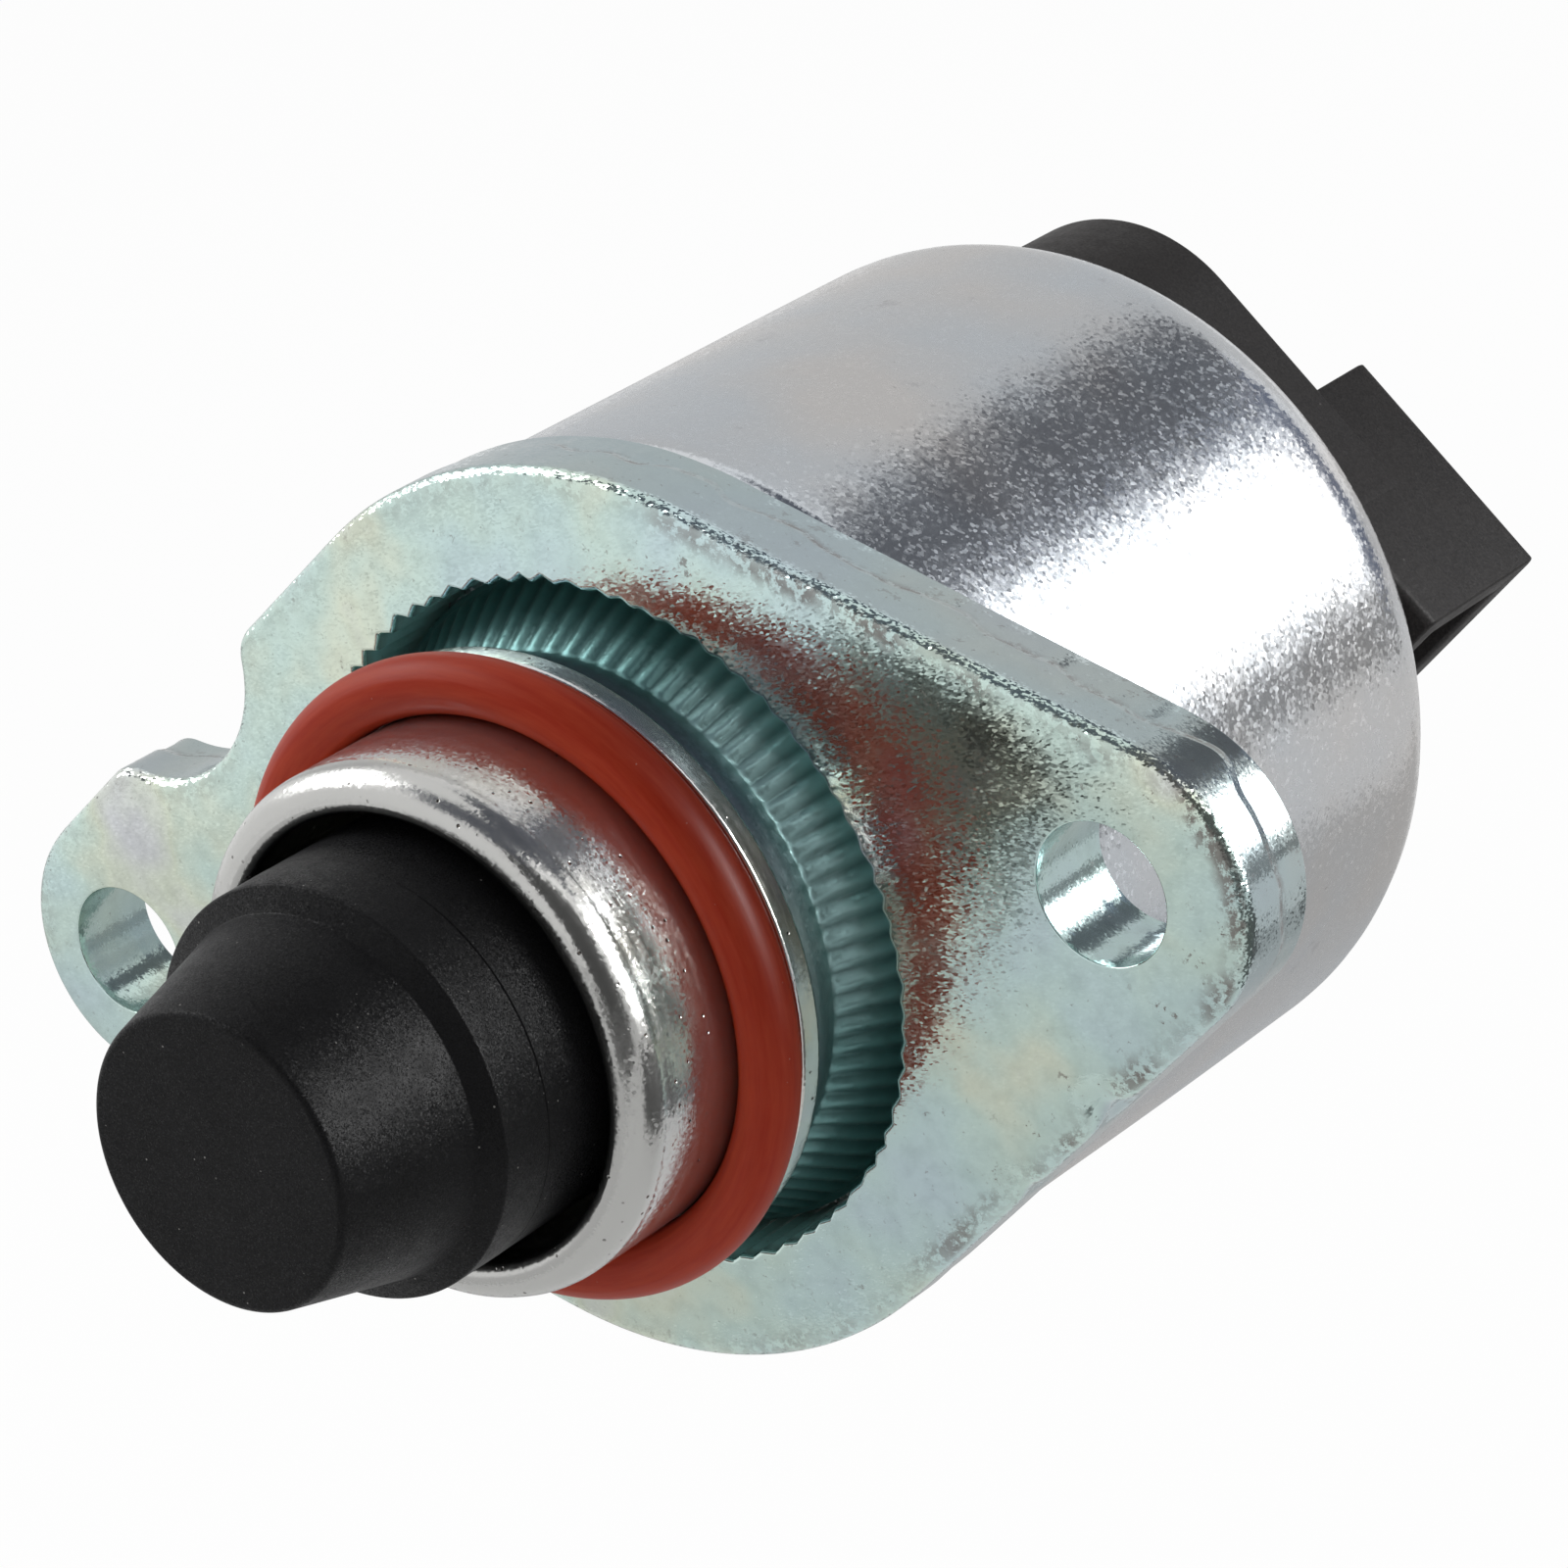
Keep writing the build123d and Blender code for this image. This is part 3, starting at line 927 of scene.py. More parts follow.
@dataclass(frozen=True)
class Winding(Finish):
    """Enamelled copper wire: fine turns across the coil."""

    colour: Colour = (0.52, 0.20, 0.07)
    # Painted shade between the turns of wire.
    gap: Colour = (0.16, 0.05, 0.02)
    wire: float = 0.18
    wire_height: float = 0.05
    shadows: Cloud = Cloud(0.9, last=0.4)
    roughness: float = 0.32
    metal: float = 0.8

    def paint(self, g: Graph) -> None:
        """Turns of wire as a sine of the position along the axis, with painted shade between the turns and
        clouds of painted shadow.

        Args:
            g: the material's nodes.
        """
        along = g.node("SeparateXYZ", {0: g.place}).outputs["Y"]
        share = g.between(g.maths("SINE", g.times(along, FULL_TURN / (self.wire * MM))), -1.0, 1.0)
        # Painted shade between the turns and clouds of painted shadow.
        colour = g.blend(g.cloud(self.shadows), g.blend(share, self.gap, self.colour), self.gap)
        normal = g.bump(share, self.wire_height)
        g.set(base_color=colour, roughness=self.roughness, metallic=self.metal, normal=normal)


FINISHES: dict[str, Finish] = {
    "flange_zinc": FlangeZinc(),
    "can_zinc": CanZinc(),
    "nose_zinc": NoseZinc(),
    "red_rubber": RedRubber(),
    "black_plastic": MouldedPlastic(
        (0.0068, 0.0068, 0.0072), (0.0110, 0.0110, 0.0117), (0.45, 0.44, 0.42), roughness=0.42, gloss=0.088,
        grain_size=0.055, grain_tilt=0.17, fleck_spacing=0.62, fleck_size=0.05,
    ),
    "connector_plastic": MouldedPlastic(
        (0.0160, 0.0146, 0.0146), (0.022, 0.0196, 0.019), (0.16, 0.15, 0.15), roughness=0.52, gloss=0.175
    ),
    "bright_steel": PlainMetal((0.62, 0.62, 0.63), 0.22),
    "spring_steel": PlainMetal((0.45, 0.45, 0.46), 0.34),
    "plate_steel": PlainMetal((0.55, 0.56, 0.57), 0.36),
    "bearing_steel": PlainMetal((0.68, 0.68, 0.69), 0.16),
    "white_plastic": MouldedPlastic(
        (0.68, 0.66, 0.60), (0.32, 0.31, 0.29), (0.50, 0.48, 0.44), roughness=0.46, gloss=0.45
    ),
    "ferrite": MouldedPlastic(
        (0.075, 0.075, 0.080), (0.10, 0.10, 0.105), (0.20, 0.20, 0.20), roughness=0.60, gloss=0.40
    ),
    "copper_wire": Winding(),
    "bronze": PlainMetal((0.55, 0.38, 0.18), 0.42),
    "seal_rubber": MouldedPlastic(
        (0.018, 0.018, 0.018), (0.024, 0.024, 0.024), (0.10, 0.10, 0.10), roughness=0.55, gloss=0.35
    ),
    "tinned_brass": PlainMetal((0.72, 0.70, 0.66), 0.26),
}


class Dresser:
    """Gives solids and new pieces their finishes, one material for each slot of the record."""

    def __init__(self) -> None:
        """Makes every finish once."""
        self.materials = {slot: finish.material(slot) for slot, finish in FINISHES.items()}
        self.slots = {row["node"]: row["material_slot"] for row in frame["record"]["subparts"]}

    def solids(self) -> None:
        """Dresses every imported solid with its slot's finish."""
        for node, solid in frame["nodes"].items():
            solid.data.materials.clear()
            solid.data.materials.append(self.materials[self.slots[node]])
            log.info("solid %s: %s", node, self.slots[node])

    def piece(self, made: bpy.types.Object, node: str, body: Body) -> None:
        """Puts a new piece in a solid's place.

        Args:
            made: the new piece.
            node: the solid that it stands for.
            body: what it moves with.
        """
        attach(made, body.value)
        self._stand_in(made, node)

    def stretched(self, made: bpy.types.Object, node: str, fixed: Vector, moving: Vector) -> None:
        """Puts a new piece in a solid's place between the housing and the pintle.

        Args:
            made: the new piece.
            node: the solid that it stands for.
            fixed: the end that stays with the housing; not used.
            moving: the end that goes with the pintle; not used.
        """
        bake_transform(made)
        self._stand_in(made, node)

    def _stand_in(self, made: bpy.types.Object, node: str) -> None:
        """Gives a new piece its finish and hides the solid that it stands for.

        Args:
            made: the new piece.
            node: the solid that it stands for.
        """
        made.data.materials.append(self.materials[self.slots[node]])
        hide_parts(node)
        log.info("piece %s for %s: %d faces", made.name, node, len(made.data.polygons))


# Sub-assemblies


@dataclass(frozen=True)
class Nick:
    """Dent in the flange's edge: its place, its size and how far it reaches."""

    x: float
    z: float
    size: float
    reach: float


@dataclass
class Flange:
    """Stamped plate with two ears, one round bite and a toothed hole."""

    body_radius: float = 18.0
    ear_radius: float = 5.9
    right_ear: float = 23.7
    left_ear: float = 25.7
    right_hole: float = 23.5
    left_hole: float = 26.5
    hole_radius: float = 2.75
    bite_radius: float = 5.6
    bite_offset: float = 24.2
    bite_angle: float = math.radians(148.8)
    bore_radius: float = 13.6
    tooth_count: int = 74
    tooth_points: int = 10
    tooth_depth: float = 0.22
    tooth_roll: float = 0.18
    tooth_evenness: float = 0.78
    tooth_waves: tuple[tuple[float, int, float], ...] = ((0.16, 9, 1.0), (0.14, 23, 0.0))
    tooth_sway: float = 0.008
    tooth_sways: int = 17
    deep_angle: float = math.radians(118)
    deep_reach: float = math.radians(34)
    deep_gain: float = 1.1
    bore_wall: Span = (-0.20, 0.0)
    edge_roll: float = 0.42
    shear_share: float = 0.58
    break_depth: float = 0.10
    outline_points: int = 1000
    corner_softness: int = 5
    face_spacing: float = 0.55
    face_clearance: float = 0.33
    rim_spacing: float = 0.25
    bore_spacing: float = 0.6
    hole_spacing: float = 0.4
    hole_points: int = 120
    fill_tolerance: float = 1e-6
    loop_step: int = 3
    path_step: int = 2
    roll_over: float = 0.15
    roll_over_width: float = 3.3
    swell: float = 0.30
    swell_width: float = 5.2
    sink_fall: Span = (0.3, 1.6)
    bore_front: float = 1.0
    tear: Unevenness = Unevenness(0.012, 9, 3)
    waviness: Unevenness = Unevenness(0.006, 25, 4)
    shear_wander: Unevenness = Unevenness(0.22, 21, 5)
    wander_front: float = 1.2
    wander_rear: float = 3.6
    tear_width: float = 0.5
    tear_fall: Span = (3.7, 4.0)
    wavy_from: float = 0.3
    nicks: tuple[Nick, ...] = (Nick(20.9, -8.5, 0.75, 0.9), Nick(15.9, -11.0, 0.45, 0.6))
    nick_inset: float = 0.5
    nick_drop: float = 0.35
    nick_fall: Span = (0.6, 1.8)
    wear_across: Span = (-5.0, 20.0)
    rim_wear: Span = (0.20, 0.80)
    rim_wear_fall: Span = (0.02, 0.20)
    break_wear: float = 0.8
    break_wear_place: float = 0.25
    break_wear_width: float = 0.16
    roll_fall: Span = (0.25, 0.50)
    roll_inner_fall: Span = (0.28, 0.44)
    side_rise: Span = (0.3, 0.6)
    side_scars: float = 0.3
    face_wear: Span = (0.25, 1.0)
    face_wear_fall: Span = (0.55, 0.95)
    face_scars_fall: Span = (1.0, 4.0)
    thickness: float = field(default_factory=lambda: float(extent("mounting_flange")[1][1]))

    def outline(self) -> Array:
        """Round body drawn out by tangents to its ears, with the bite cut from the upper left tangent.

        A tangent touches body and ear at the angle whose cosine is (body - ear radius) / ear offset. The
        corners are softened by averaging neighbouring points.

        Returns:
            Closed anticlockwise path (x, z) of evenly spread points.
        """
        right = math.acos((self.body_radius - self.ear_radius) / self.right_ear)
        left = math.pi - math.acos((self.body_radius - self.ear_radius) / self.left_ear)
        bite = self.bite_offset * np.array([math.cos(self.bite_angle), math.sin(self.bite_angle)])
        tangent = np.array([math.cos(left), math.sin(left)])
        half = math.acos((bite @ tangent - self.body_radius) / self.bite_radius)
        inward = left - math.pi
        path = np.concatenate([
            arc((self.right_ear, 0), self.ear_radius, -right, right, 90),
            arc((0, 0), self.body_radius, right, left, 120),
            arc(tuple(bite), self.bite_radius, inward + half, inward - half, 90),
            arc((-self.left_ear, 0), self.ear_radius, left, FULL_TURN - left, 90),
            arc((0, 0), self.body_radius, FULL_TURN - left, FULL_TURN - right, 120),
        ])
        path = even(path, self.outline_points)
        window = range(-self.corner_softness, self.corner_softness + 1)
        return np.mean([np.roll(path, k, 0) for k in window], axis=0)

    def rim_profile(self) -> Array:
        """Section of the edge as (inward offset, position): die roll, sheared band, torn band, burr.

        Returns:
            Array of shape (n, 2).
        """
        shear_end = self.thickness * self.shear_share
        return rounded([
            (self.edge_roll + 0.25, 0, 0),
            (self.edge_roll, 0, 0),
            (0, 0, self.edge_roll),
            (0, shear_end, 0.06),
            (self.break_depth, shear_end + 0.4, 0.06),
            (self.break_depth, self.thickness, 0.08),
            (self.break_depth + 0.4, self.thickness, 0),
        ], closed=False, steps=10)

    def sink(self, from_edge: Array | float, from_hole: Array) -> Array:
        """How far the front face gives way at the edge, less its swell at the hole.

        The edge sinks by roll-over x (1 - e/w)^3 and the hole's edge swells by swell x (1 - h/w)^2.

        Args:
            from_edge: distances e from the outline.
            from_hole: distances h from the toothed hole.
        Returns:
            Depths along the axis.
        """
        edge = self.roll_over * np.clip(1 - from_edge / self.roll_over_width, 0, 1) ** 3
        hole = self.swell * np.clip(1 - from_hole / self.swell_width, 0, 1) ** 2
        return edge - hole

    def rim(self, path: Array) -> tuple[Array, Array, Array]:
        """Carries the edge's section round the outline, with the nicks pressed into its front.

        Args:
            path: the outline.
        Returns:
            Grid of points and the marks for worn edges and for the die roll.
        """
        section = spread(self.rim_profile(), self.rim_spacing, False)
        count = len(path)
        inset = np.broadcast_to(section[None, :, 0], (count, len(section))).copy()
        depth = np.broadcast_to(section[None, :, 1], inset.shape).copy()
        shear_end = self.thickness * self.shear_share
        tear_end = shear_end + self.tear_width
        middle = smooth_step(self.wander_front, shear_end, depth)
        middle = middle * smooth_fall(tear_end, self.wander_rear, depth)
        torn = smooth_step(shear_end, tear_end, depth) * smooth_fall(*self.tear_fall, depth)
        inset += (self.tear.height + self.tear.along(count)) * torn
        inset += self.waviness.along(count) * (depth > self.wavy_from)
        depth += self.shear_wander.along(count) * middle
        for nick in self.nicks:
            away = np.hypot(path[:, 0] - nick.x, path[:, 1] - nick.z)[:, None]
            pressed = nick.size * bell(away, nick.reach) * smooth_fall(*self.nick_fall, depth)
            inset += pressed * self.nick_inset
            depth += pressed * self.nick_drop
        ring = path[:, None, :] - outward(path)[:, None, :] * inset[..., None]
        points = np.stack([ring[..., 0], depth, ring[..., 1]], -1)
        worn = smooth_fall(*self.rim_wear_fall, depth) * self.wear(points[..., 0], self.rim_wear)
        break_place = section[None, :, 1] - shear_end - self.break_wear_place
        worn = np.maximum(worn, self.break_wear * bell(break_place, self.break_wear_width))
        roll = smooth_fall(*self.roll_fall, depth) * smooth_fall(*self.roll_inner_fall, inset)
        from_hole = np.hypot(points[..., 0], points[..., 2]) - self.bore_radius
        points[..., 1] += self.sink(inset, from_hole) * smooth_fall(*self.sink_fall, depth)
        return points, worn, roll

    def wear(self, across: Array, ends: Span) -> Array:
        """Wear that grows smoothly from the left side of the plate to the right one."""
        return ends[0] + (ends[1] - ends[0]) * smooth_step(*self.wear_across, across)

    def bore(self) -> Array:
        """Toothed hole: radius = bore + tooth depth x zigzag wave, with its front edge rolled over.

        Two sine waves make the depth uneven, and it grows as a bell curve towards one angle.

        Returns:
            Grid of points, from the front face to the back face.
        """
        turn = angles(self.tooth_count * self.tooth_points)
        waves = [size * np.sin(count * turn + shift) for size, count, shift in self.tooth_waves]
        uneven = self.tooth_evenness + sum(waves)
        uneven = uneven * (1 + self.deep_gain * bell(turn - self.deep_angle, self.deep_reach))
        teeth = zigzag(turn + self.tooth_sway * np.sin(self.tooth_sways * turn), self.tooth_count)
        wave = self.bore_radius + self.tooth_depth * uneven * teeth
        section = rounded([
            (0.60, 0, 0),
            (self.tooth_roll + 0.04, 0, 0),
            (0, 0, self.tooth_roll),
            (0, self.thickness, 0.02),
            (0.3, self.thickness, 0),
        ], closed=False, steps=6)
        section = spread(section, self.bore_spacing, False)
        radius = wave[:, None] + section[None, :, 0]
        along = section[None, :, 1]
        sunk = self.sink(self.roll_over_width, radius - self.bore_radius)
        height = along + sunk * (along < self.bore_front)
        return np.stack([radius * np.cos(turn)[:, None], height, radius * np.sin(turn)[:, None]], -1)

    def bolt_hole(self, centre: float) -> Array:
        """Plain round hole with a small roll at the front and a broken back edge.

        Args:
            centre: the hole's place along X.
        Returns:
            Grid of points, from the front face to the back face.
        """
        section = rounded([
            (0.20, 0, 0),
            (0.08, 0, 0),
            (0, 0, 0.06),
            (0, self.thickness * 0.7, 0.1),
            (0.03, self.thickness * 0.8, 0.1),
            (0.03, self.thickness, 0.02),
            (0.3, self.thickness, 0),
        ], closed=False, steps=6)
        section = spread(section, self.hole_spacing, False)
        section[:, 0] += self.hole_radius
        return turned(section, self.hole_points) + np.array([centre, 0, 0])

    def face(self, loops: list[Array], height: float) -> tuple[Array, list[list[int]]]:
        """Flat face between its boundary loops, filled with triangles over a loose lattice.

        Args:
            loops: closed loops (x, z), the outer one first.
            height: the face's position along the axis.
        Returns:
            Points and triangles.
        """
        low, high = loops[0].min(0), loops[0].max(0)
        across = np.arange(low[0], high[0], self.face_spacing)
        up = np.arange(low[1], high[1], self.face_spacing * math.sqrt(3) / 2)
        lattice = np.stack(np.meshgrid(across, up, indexing="xy"), -1)
        lattice[1::2, :, 0] += self.face_spacing / 2
        lattice = lattice.reshape(-1, 2)
        clear = np.ones(len(lattice), bool)
        edges, start = [], 0
        for loop in loops:
            nearest = np.sqrt(((lattice[:, None, :] - loop[None, ::self.loop_step, :]) ** 2).sum(-1).min(1))
            clear &= nearest > self.face_clearance
            index = np.arange(len(loop))
            edges.append(np.stack([index, np.roll(index, -1)], 1) + start)
            start += len(loop)
        flat = [Vector(p) for p in np.concatenate([*loops, lattice[clear]])]
        made = delaunay_2d_cdt(flat, np.concatenate(edges).tolist(), [], 1, self.fill_tolerance)
        corners = np.array([(p.x, p.y) for p in made[0]])
        faces = np.array(made[2])
        middles = corners[faces].mean(1)
        for hole in loops[1:]:
            outside = ~inside(middles, hole)
            faces, middles = faces[outside], middles[outside]
        used, faces = np.unique(faces, return_inverse=True)
        placed = np.stack([corners[used, 0], np.full(len(used), height), corners[used, 1]], 1)
        return placed, faces.reshape(-1, 3).tolist()

    def build(self) -> bpy.types.Object:
        """Makes the whole plate: rim, toothed hole, bolt holes and the two faces between their edges.

        Returns:
            The plate.
        """
        skin = Skin("flange_plate")
        path = self.outline()
        rim, worn, roll = self.rim(path)
        side = smooth_step(*self.side_rise, rim[..., 1])
        skin.grid(rim, wrap_v=False, edge=worn, near=self.side_scars, roll=roll, side=side)
        bore = self.bore()
        skin.grid(bore, wrap_v=False, groove=smooth_step(*self.bore_wall, bore[..., 1]))
        holes = [self.bolt_hole(self.right_hole), self.bolt_hole(-self.left_hole)]
        for hole in holes:
            skin.grid(hole, wrap_v=False)
        for end, height in ((0, 0.0), (-1, self.thickness)):
            rings = [grid[:, end] for grid in (rim, bore, *holes)]
            points, faces = self.face([ring[:, [0, 2]] for ring in rings], height)
            flat = points[:, [0, 2]]
            away = np.sqrt(((flat[:, None] - path[None, ::self.path_step]) ** 2).sum(-1).min(1))
            if end == 0:
                points[:, 1] += self.sink(away, np.hypot(*flat.T) - self.bore_radius)
            seam = np.concatenate(rings)
            gap = ((flat[:, None] - seam[None][..., [0, 2]]) ** 2).sum(-1)
            points[:, 1] = np.where(gap.min(1) < SEAM_GAP ** 2, seam[gap.argmin(1), 1], points[:, 1])
            wear = self.wear(points[:, 0], self.face_wear)
            skin.sheet(
                points, faces, edge=smooth_fall(*self.face_wear_fall, away) * wear,
                near=smooth_fall(*self.face_scars_fall, away) * wear,
            )
        return skin.build()


@dataclass
class Can:
    """Drawn motor can, open at the front for the guide and at the back for the connector."""

    wall: float = 0.9
    front_roll: float = 1.2
    shoulder: float = 4.0
    guide_opening: float = 11.0
    cap_opening: float = 12.6
    spacing: float = 1.2
    points_round: int = 320
    dent: float = 0.018
    dent_waves: tuple[tuple[float, int, float, float], ...] = ((1.0, 2, 0.20, 0.0), (0.6, 5, -0.33, 1.0))

    def __post_init__(self) -> None:
        """Reads the can's ends and radius off its solid."""
        low, high = extent("motor_can")
        self.radius = float(high[0])
        self.front = float(low[1])
        self.rear = float(high[1])

    def profile(self) -> Array:
        """Closed section: outside from the front opening to the back one, then back along the inside.

        Returns:
            Array of shape (n, 2).
        """
        inner = self.radius - self.wall
        section = rounded([
            (self.guide_opening, self.front, 0),
            (self.radius, self.front, self.front_roll),
            (self.radius, self.rear, self.shoulder),
            (self.cap_opening, self.rear, 0.2),
            (self.cap_opening, self.rear - self.wall, 0),
            (inner, self.rear - self.wall, self.shoulder - self.wall),
            (inner, self.front + self.wall, 0.3),
            (self.guide_opening, self.front + self.wall, 0),
        ], closed=True, steps=14)
        return spread(section, self.spacing, True)

    def build(self) -> bpy.types.Object:
        """Turns the section about the axis; two slow sine waves dent the drawn wall inwards.

        Returns:
            The can.
        """
        section = self.profile()
        turn = angles(self.points_round)[:, None]
        along = section[None, :, 1]
        wave = sum(
            size * (np.sin(count * turn + twist * along + shift) - 1)
            for size, count, twist, shift in self.dent_waves
        )
        outside = section[None, :, 0] > self.radius - self.wall / 2
        return lathe("can_shell", section, self.points_round, self.dent * wave * outside)


@dataclass
class Nose:
    """Turned tube with a rolled mouth, a collar for the seal and a ridged, flared foot.

    The spans are distances over which a mark comes or goes: from the ridges' front, the collar's back, the
    mouth or the collar, and for the painted light on one side of the groove and on the neck's low side the
    cosine and the sine of the turn.
    """

    tube_radius: float = 10.5
    mouth_radius: float = 8.82
    mouth_depth: float = 1.6
    bore_radius: float = 9.2
    lip_roll: float = 1.2
    lip_line: float = 0.3
    mouth_roll: float = 0.46
    line_depth: float = 0.012
    line_width: float = 0.12
    collar: float = 4.3
    collar_width: float = 1.1
    collar_radius: float = 12.3
    neck_radius: float = 11.2
    neck_margin: float = 0.01
    ridge_front: float = 0.9
    ridge_count: int = 82
    ridge_depth: float = 0.16
    ridge_flare: float = 1.95
    ridge_sharpness: float = 1.6
    ridge_rise: Span = (-0.2, 0.25)
    ridge_end: float = 0.15
    groove_depth: float = 2.4
    groove_rise: Span = (-1.0, 0.1)
    neck_rise: Span = (0.0, 0.25)
    lip_fall: Span = (0.9, 1.5)
    film_rise: Span = (0.9, 2.2)
    film_fall: Span = (-0.4, 0.0)
    # Painted light: the side of the groove round this angle is marked lighter.
    painted_light_angle: float = math.radians(15)
    painted_light_rise: Span = (0.72, 0.95)
    # Painted light on the neck's low side.
    painted_light_low_fall: Span = (0.0, 0.45)
    points_per_ridge: int = 8
    spacing: float = 0.5

    def __post_init__(self) -> None:
        """Reads the sleeve's ends and foot off its solid."""
        low, high = extent("nose_sleeve")
        self.front = float(low[1])
        self.rear = float(high[1])
        self.foot_radius = float(high[0])

    def profile(self) -> Array:
        """Closed section from the foot's back along the outside to the mouth and back through the bore.

        Returns:
            Array of shape (n, 2).
        """
        collar_back = self.collar_width - self.collar
        lip = self.front + self.lip_roll + self.lip_line
        section = rounded([
            (self.bore_radius, self.rear, 0),
            (self.foot_radius, self.rear, 0.1),
            (self.foot_radius, self.groove_depth + 0.2, 0.02),
            (self.neck_radius + self.ridge_flare, self.groove_depth, 0.1),
            (self.neck_radius, -self.ridge_front, 0.5),
            (self.neck_radius, collar_back, 0.3),
            (self.collar_radius, collar_back, 0.22),
            (self.collar_radius, -self.collar, 0.15),
            (self.tube_radius, -self.collar, 0.2),
            (self.tube_radius, lip + self.line_width, 0),
            (self.tube_radius - self.line_depth, lip, 0),
            (self.tube_radius, lip - self.line_width, 0),
            (self.tube_radius, self.front, self.lip_roll),
            (self.mouth_radius, self.front, self.mouth_roll),
            (self.mouth_radius, self.front + self.mouth_depth, 0.1),
            (self.bore_radius, self.front + self.mouth_depth, 0.1),
        ], closed=True, steps=7)
        return spread(section, self.spacing, True)

    def build(self) -> bpy.types.Object:
        """Turns the section; between neck and foot the radius gains depth x tooth wave as ridges.

        Returns:
            The tube.
        """
        section = self.profile()
        count = self.ridge_count * self.points_per_ridge
        turn = angles(count)[:, None]
        radius, along = section[None, :, 0], section[None, :, 1]
        outside = radius > self.neck_radius - self.neck_margin
        from_mouth = along - self.front
        from_ridges = along + self.ridge_front
        wave = rounded_teeth(turn, self.ridge_count, self.ridge_sharpness)
        ridged = smooth_step(*self.ridge_rise, from_ridges) * outside
        ridged = ridged * smooth_fall(self.groove_depth - self.ridge_end, self.groove_depth, along)
        return lathe(
            "nose_tube", section, count, self.ridge_depth * wave * ridged,
            groove=smooth_step(*self.groove_rise, from_ridges) * outside,
            neck=smooth_step(*self.neck_rise, along + self.collar - self.collar_width) * outside,
            lip=smooth_fall(*self.lip_fall, from_mouth),
            # Painted light on one side of the groove.
            pale=smooth_step(*self.painted_light_rise, np.cos(turn - self.painted_light_angle)),
            # Painted light on the neck's low side.
            low=smooth_fall(*self.painted_light_low_fall, np.sin(turn)),
            # Painted shade in the ridge valleys.
            valley=(1 - wave) * ridged,
            film=smooth_step(*self.film_rise, from_mouth) * smooth_fall(*self.film_fall, along + self.collar),
        )


@dataclass
class Seal:
    """Rubber ring that sits against the collar."""

    points_round: int = 360
    points_across: int = 72
    flash_height: float = 0.014
    flash_width: float = 0.06
    flash_places: tuple[float, ...] = (-2.05, -2.35, -1.15)

    def build(self) -> bpy.types.Object:
        """Torus whose section radius gains a low bell curve at each moulding line.

        Returns:
            The ring.
        """
        low, high = extent("o_ring")
        section = (high[1] - low[1]) / 2
        around = np.linspace(-math.pi, math.pi, self.points_across, endpoint=False)
        flash = sum(bell(around - place, self.flash_width) for place in self.flash_places)
        radius = section - self.flash_height + self.flash_height * np.clip(flash, 0, 1)
        centre = np.array([high[0] - section, (low[1] + high[1]) / 2])
        profile = centre + radius[:, None] * np.stack([np.cos(around), np.sin(around)], 1)
        return lathe("seal_ring", profile, self.points_round)


@dataclass
class Pintle:
    """Moulded plug: flat tip, cone, shoulder, then a cylinder with a parting line and a spring pocket."""

    tip_radius: float = 5.75
    tip_edge: float = 0.32
    cone_radius: float = 7.12
    cone_length: float = 5.65
    cone_edge: float = 0.12
    shoulder_length: float = 0.5
    shoulder_edge: float = 0.14
    rear_edge: float = 0.3
    pocket_wall: float = 1.7
    pocket_width: float = 1.5
    pocket_depth: float = 6.6
    pocket_edge: float = 0.1
    shaft_radius: float = 2.5
    shaft_grip: float = 12.0
    seam_offset: float = 2.35
    seam_depth: float = 0.07
    seam_width: float = 0.05
    seam_step: float = 0.01
    spacing: float = 0.8
    points_round: int = 288

    def profile(self) -> Array:
        """Section from the tip's middle along the outside and back through pocket and shaft hole.

        Returns:
            Array of shape (n, 2).
        """
        low, high = extent("pintle")
        tip, rear, radius = float(low[1]), float(high[1]), float(high[0])
        cone_end = tip + self.cone_length
        step = cone_end + self.shoulder_length
        pocket_outer = radius - self.pocket_wall
        pocket_inner = pocket_outer - self.pocket_width
        pocket_end = rear - self.pocket_depth
        seam = step + self.seam_offset
        return rounded([
            (0, tip, 0),
            (self.tip_radius, tip, self.tip_edge),
            (self.cone_radius, cone_end, self.cone_edge),
            (radius, step, self.shoulder_edge),
            (radius, seam - self.seam_width, 0),
            (radius - self.seam_depth, seam, 0),
            (radius - self.seam_step, seam + self.seam_width, 0),
            (radius - self.seam_step, rear, self.rear_edge),
            (pocket_outer, rear, self.pocket_edge),
            (pocket_outer, pocket_end, self.pocket_edge),
            (pocket_inner, pocket_end, self.pocket_edge),
            (pocket_inner, rear, self.pocket_edge),
            (self.shaft_radius, rear, self.pocket_edge),
            (self.shaft_radius, rear - self.shaft_grip, 0),
            (0, rear - self.shaft_grip, 0),
        ], closed=False, steps=8)

    def build(self) -> bpy.types.Object:
        """Turns the section about the axis."""
        section = spread(self.profile(), self.spacing, False)
        return lathe("pintle_plug", section, self.points_round, closed=False)


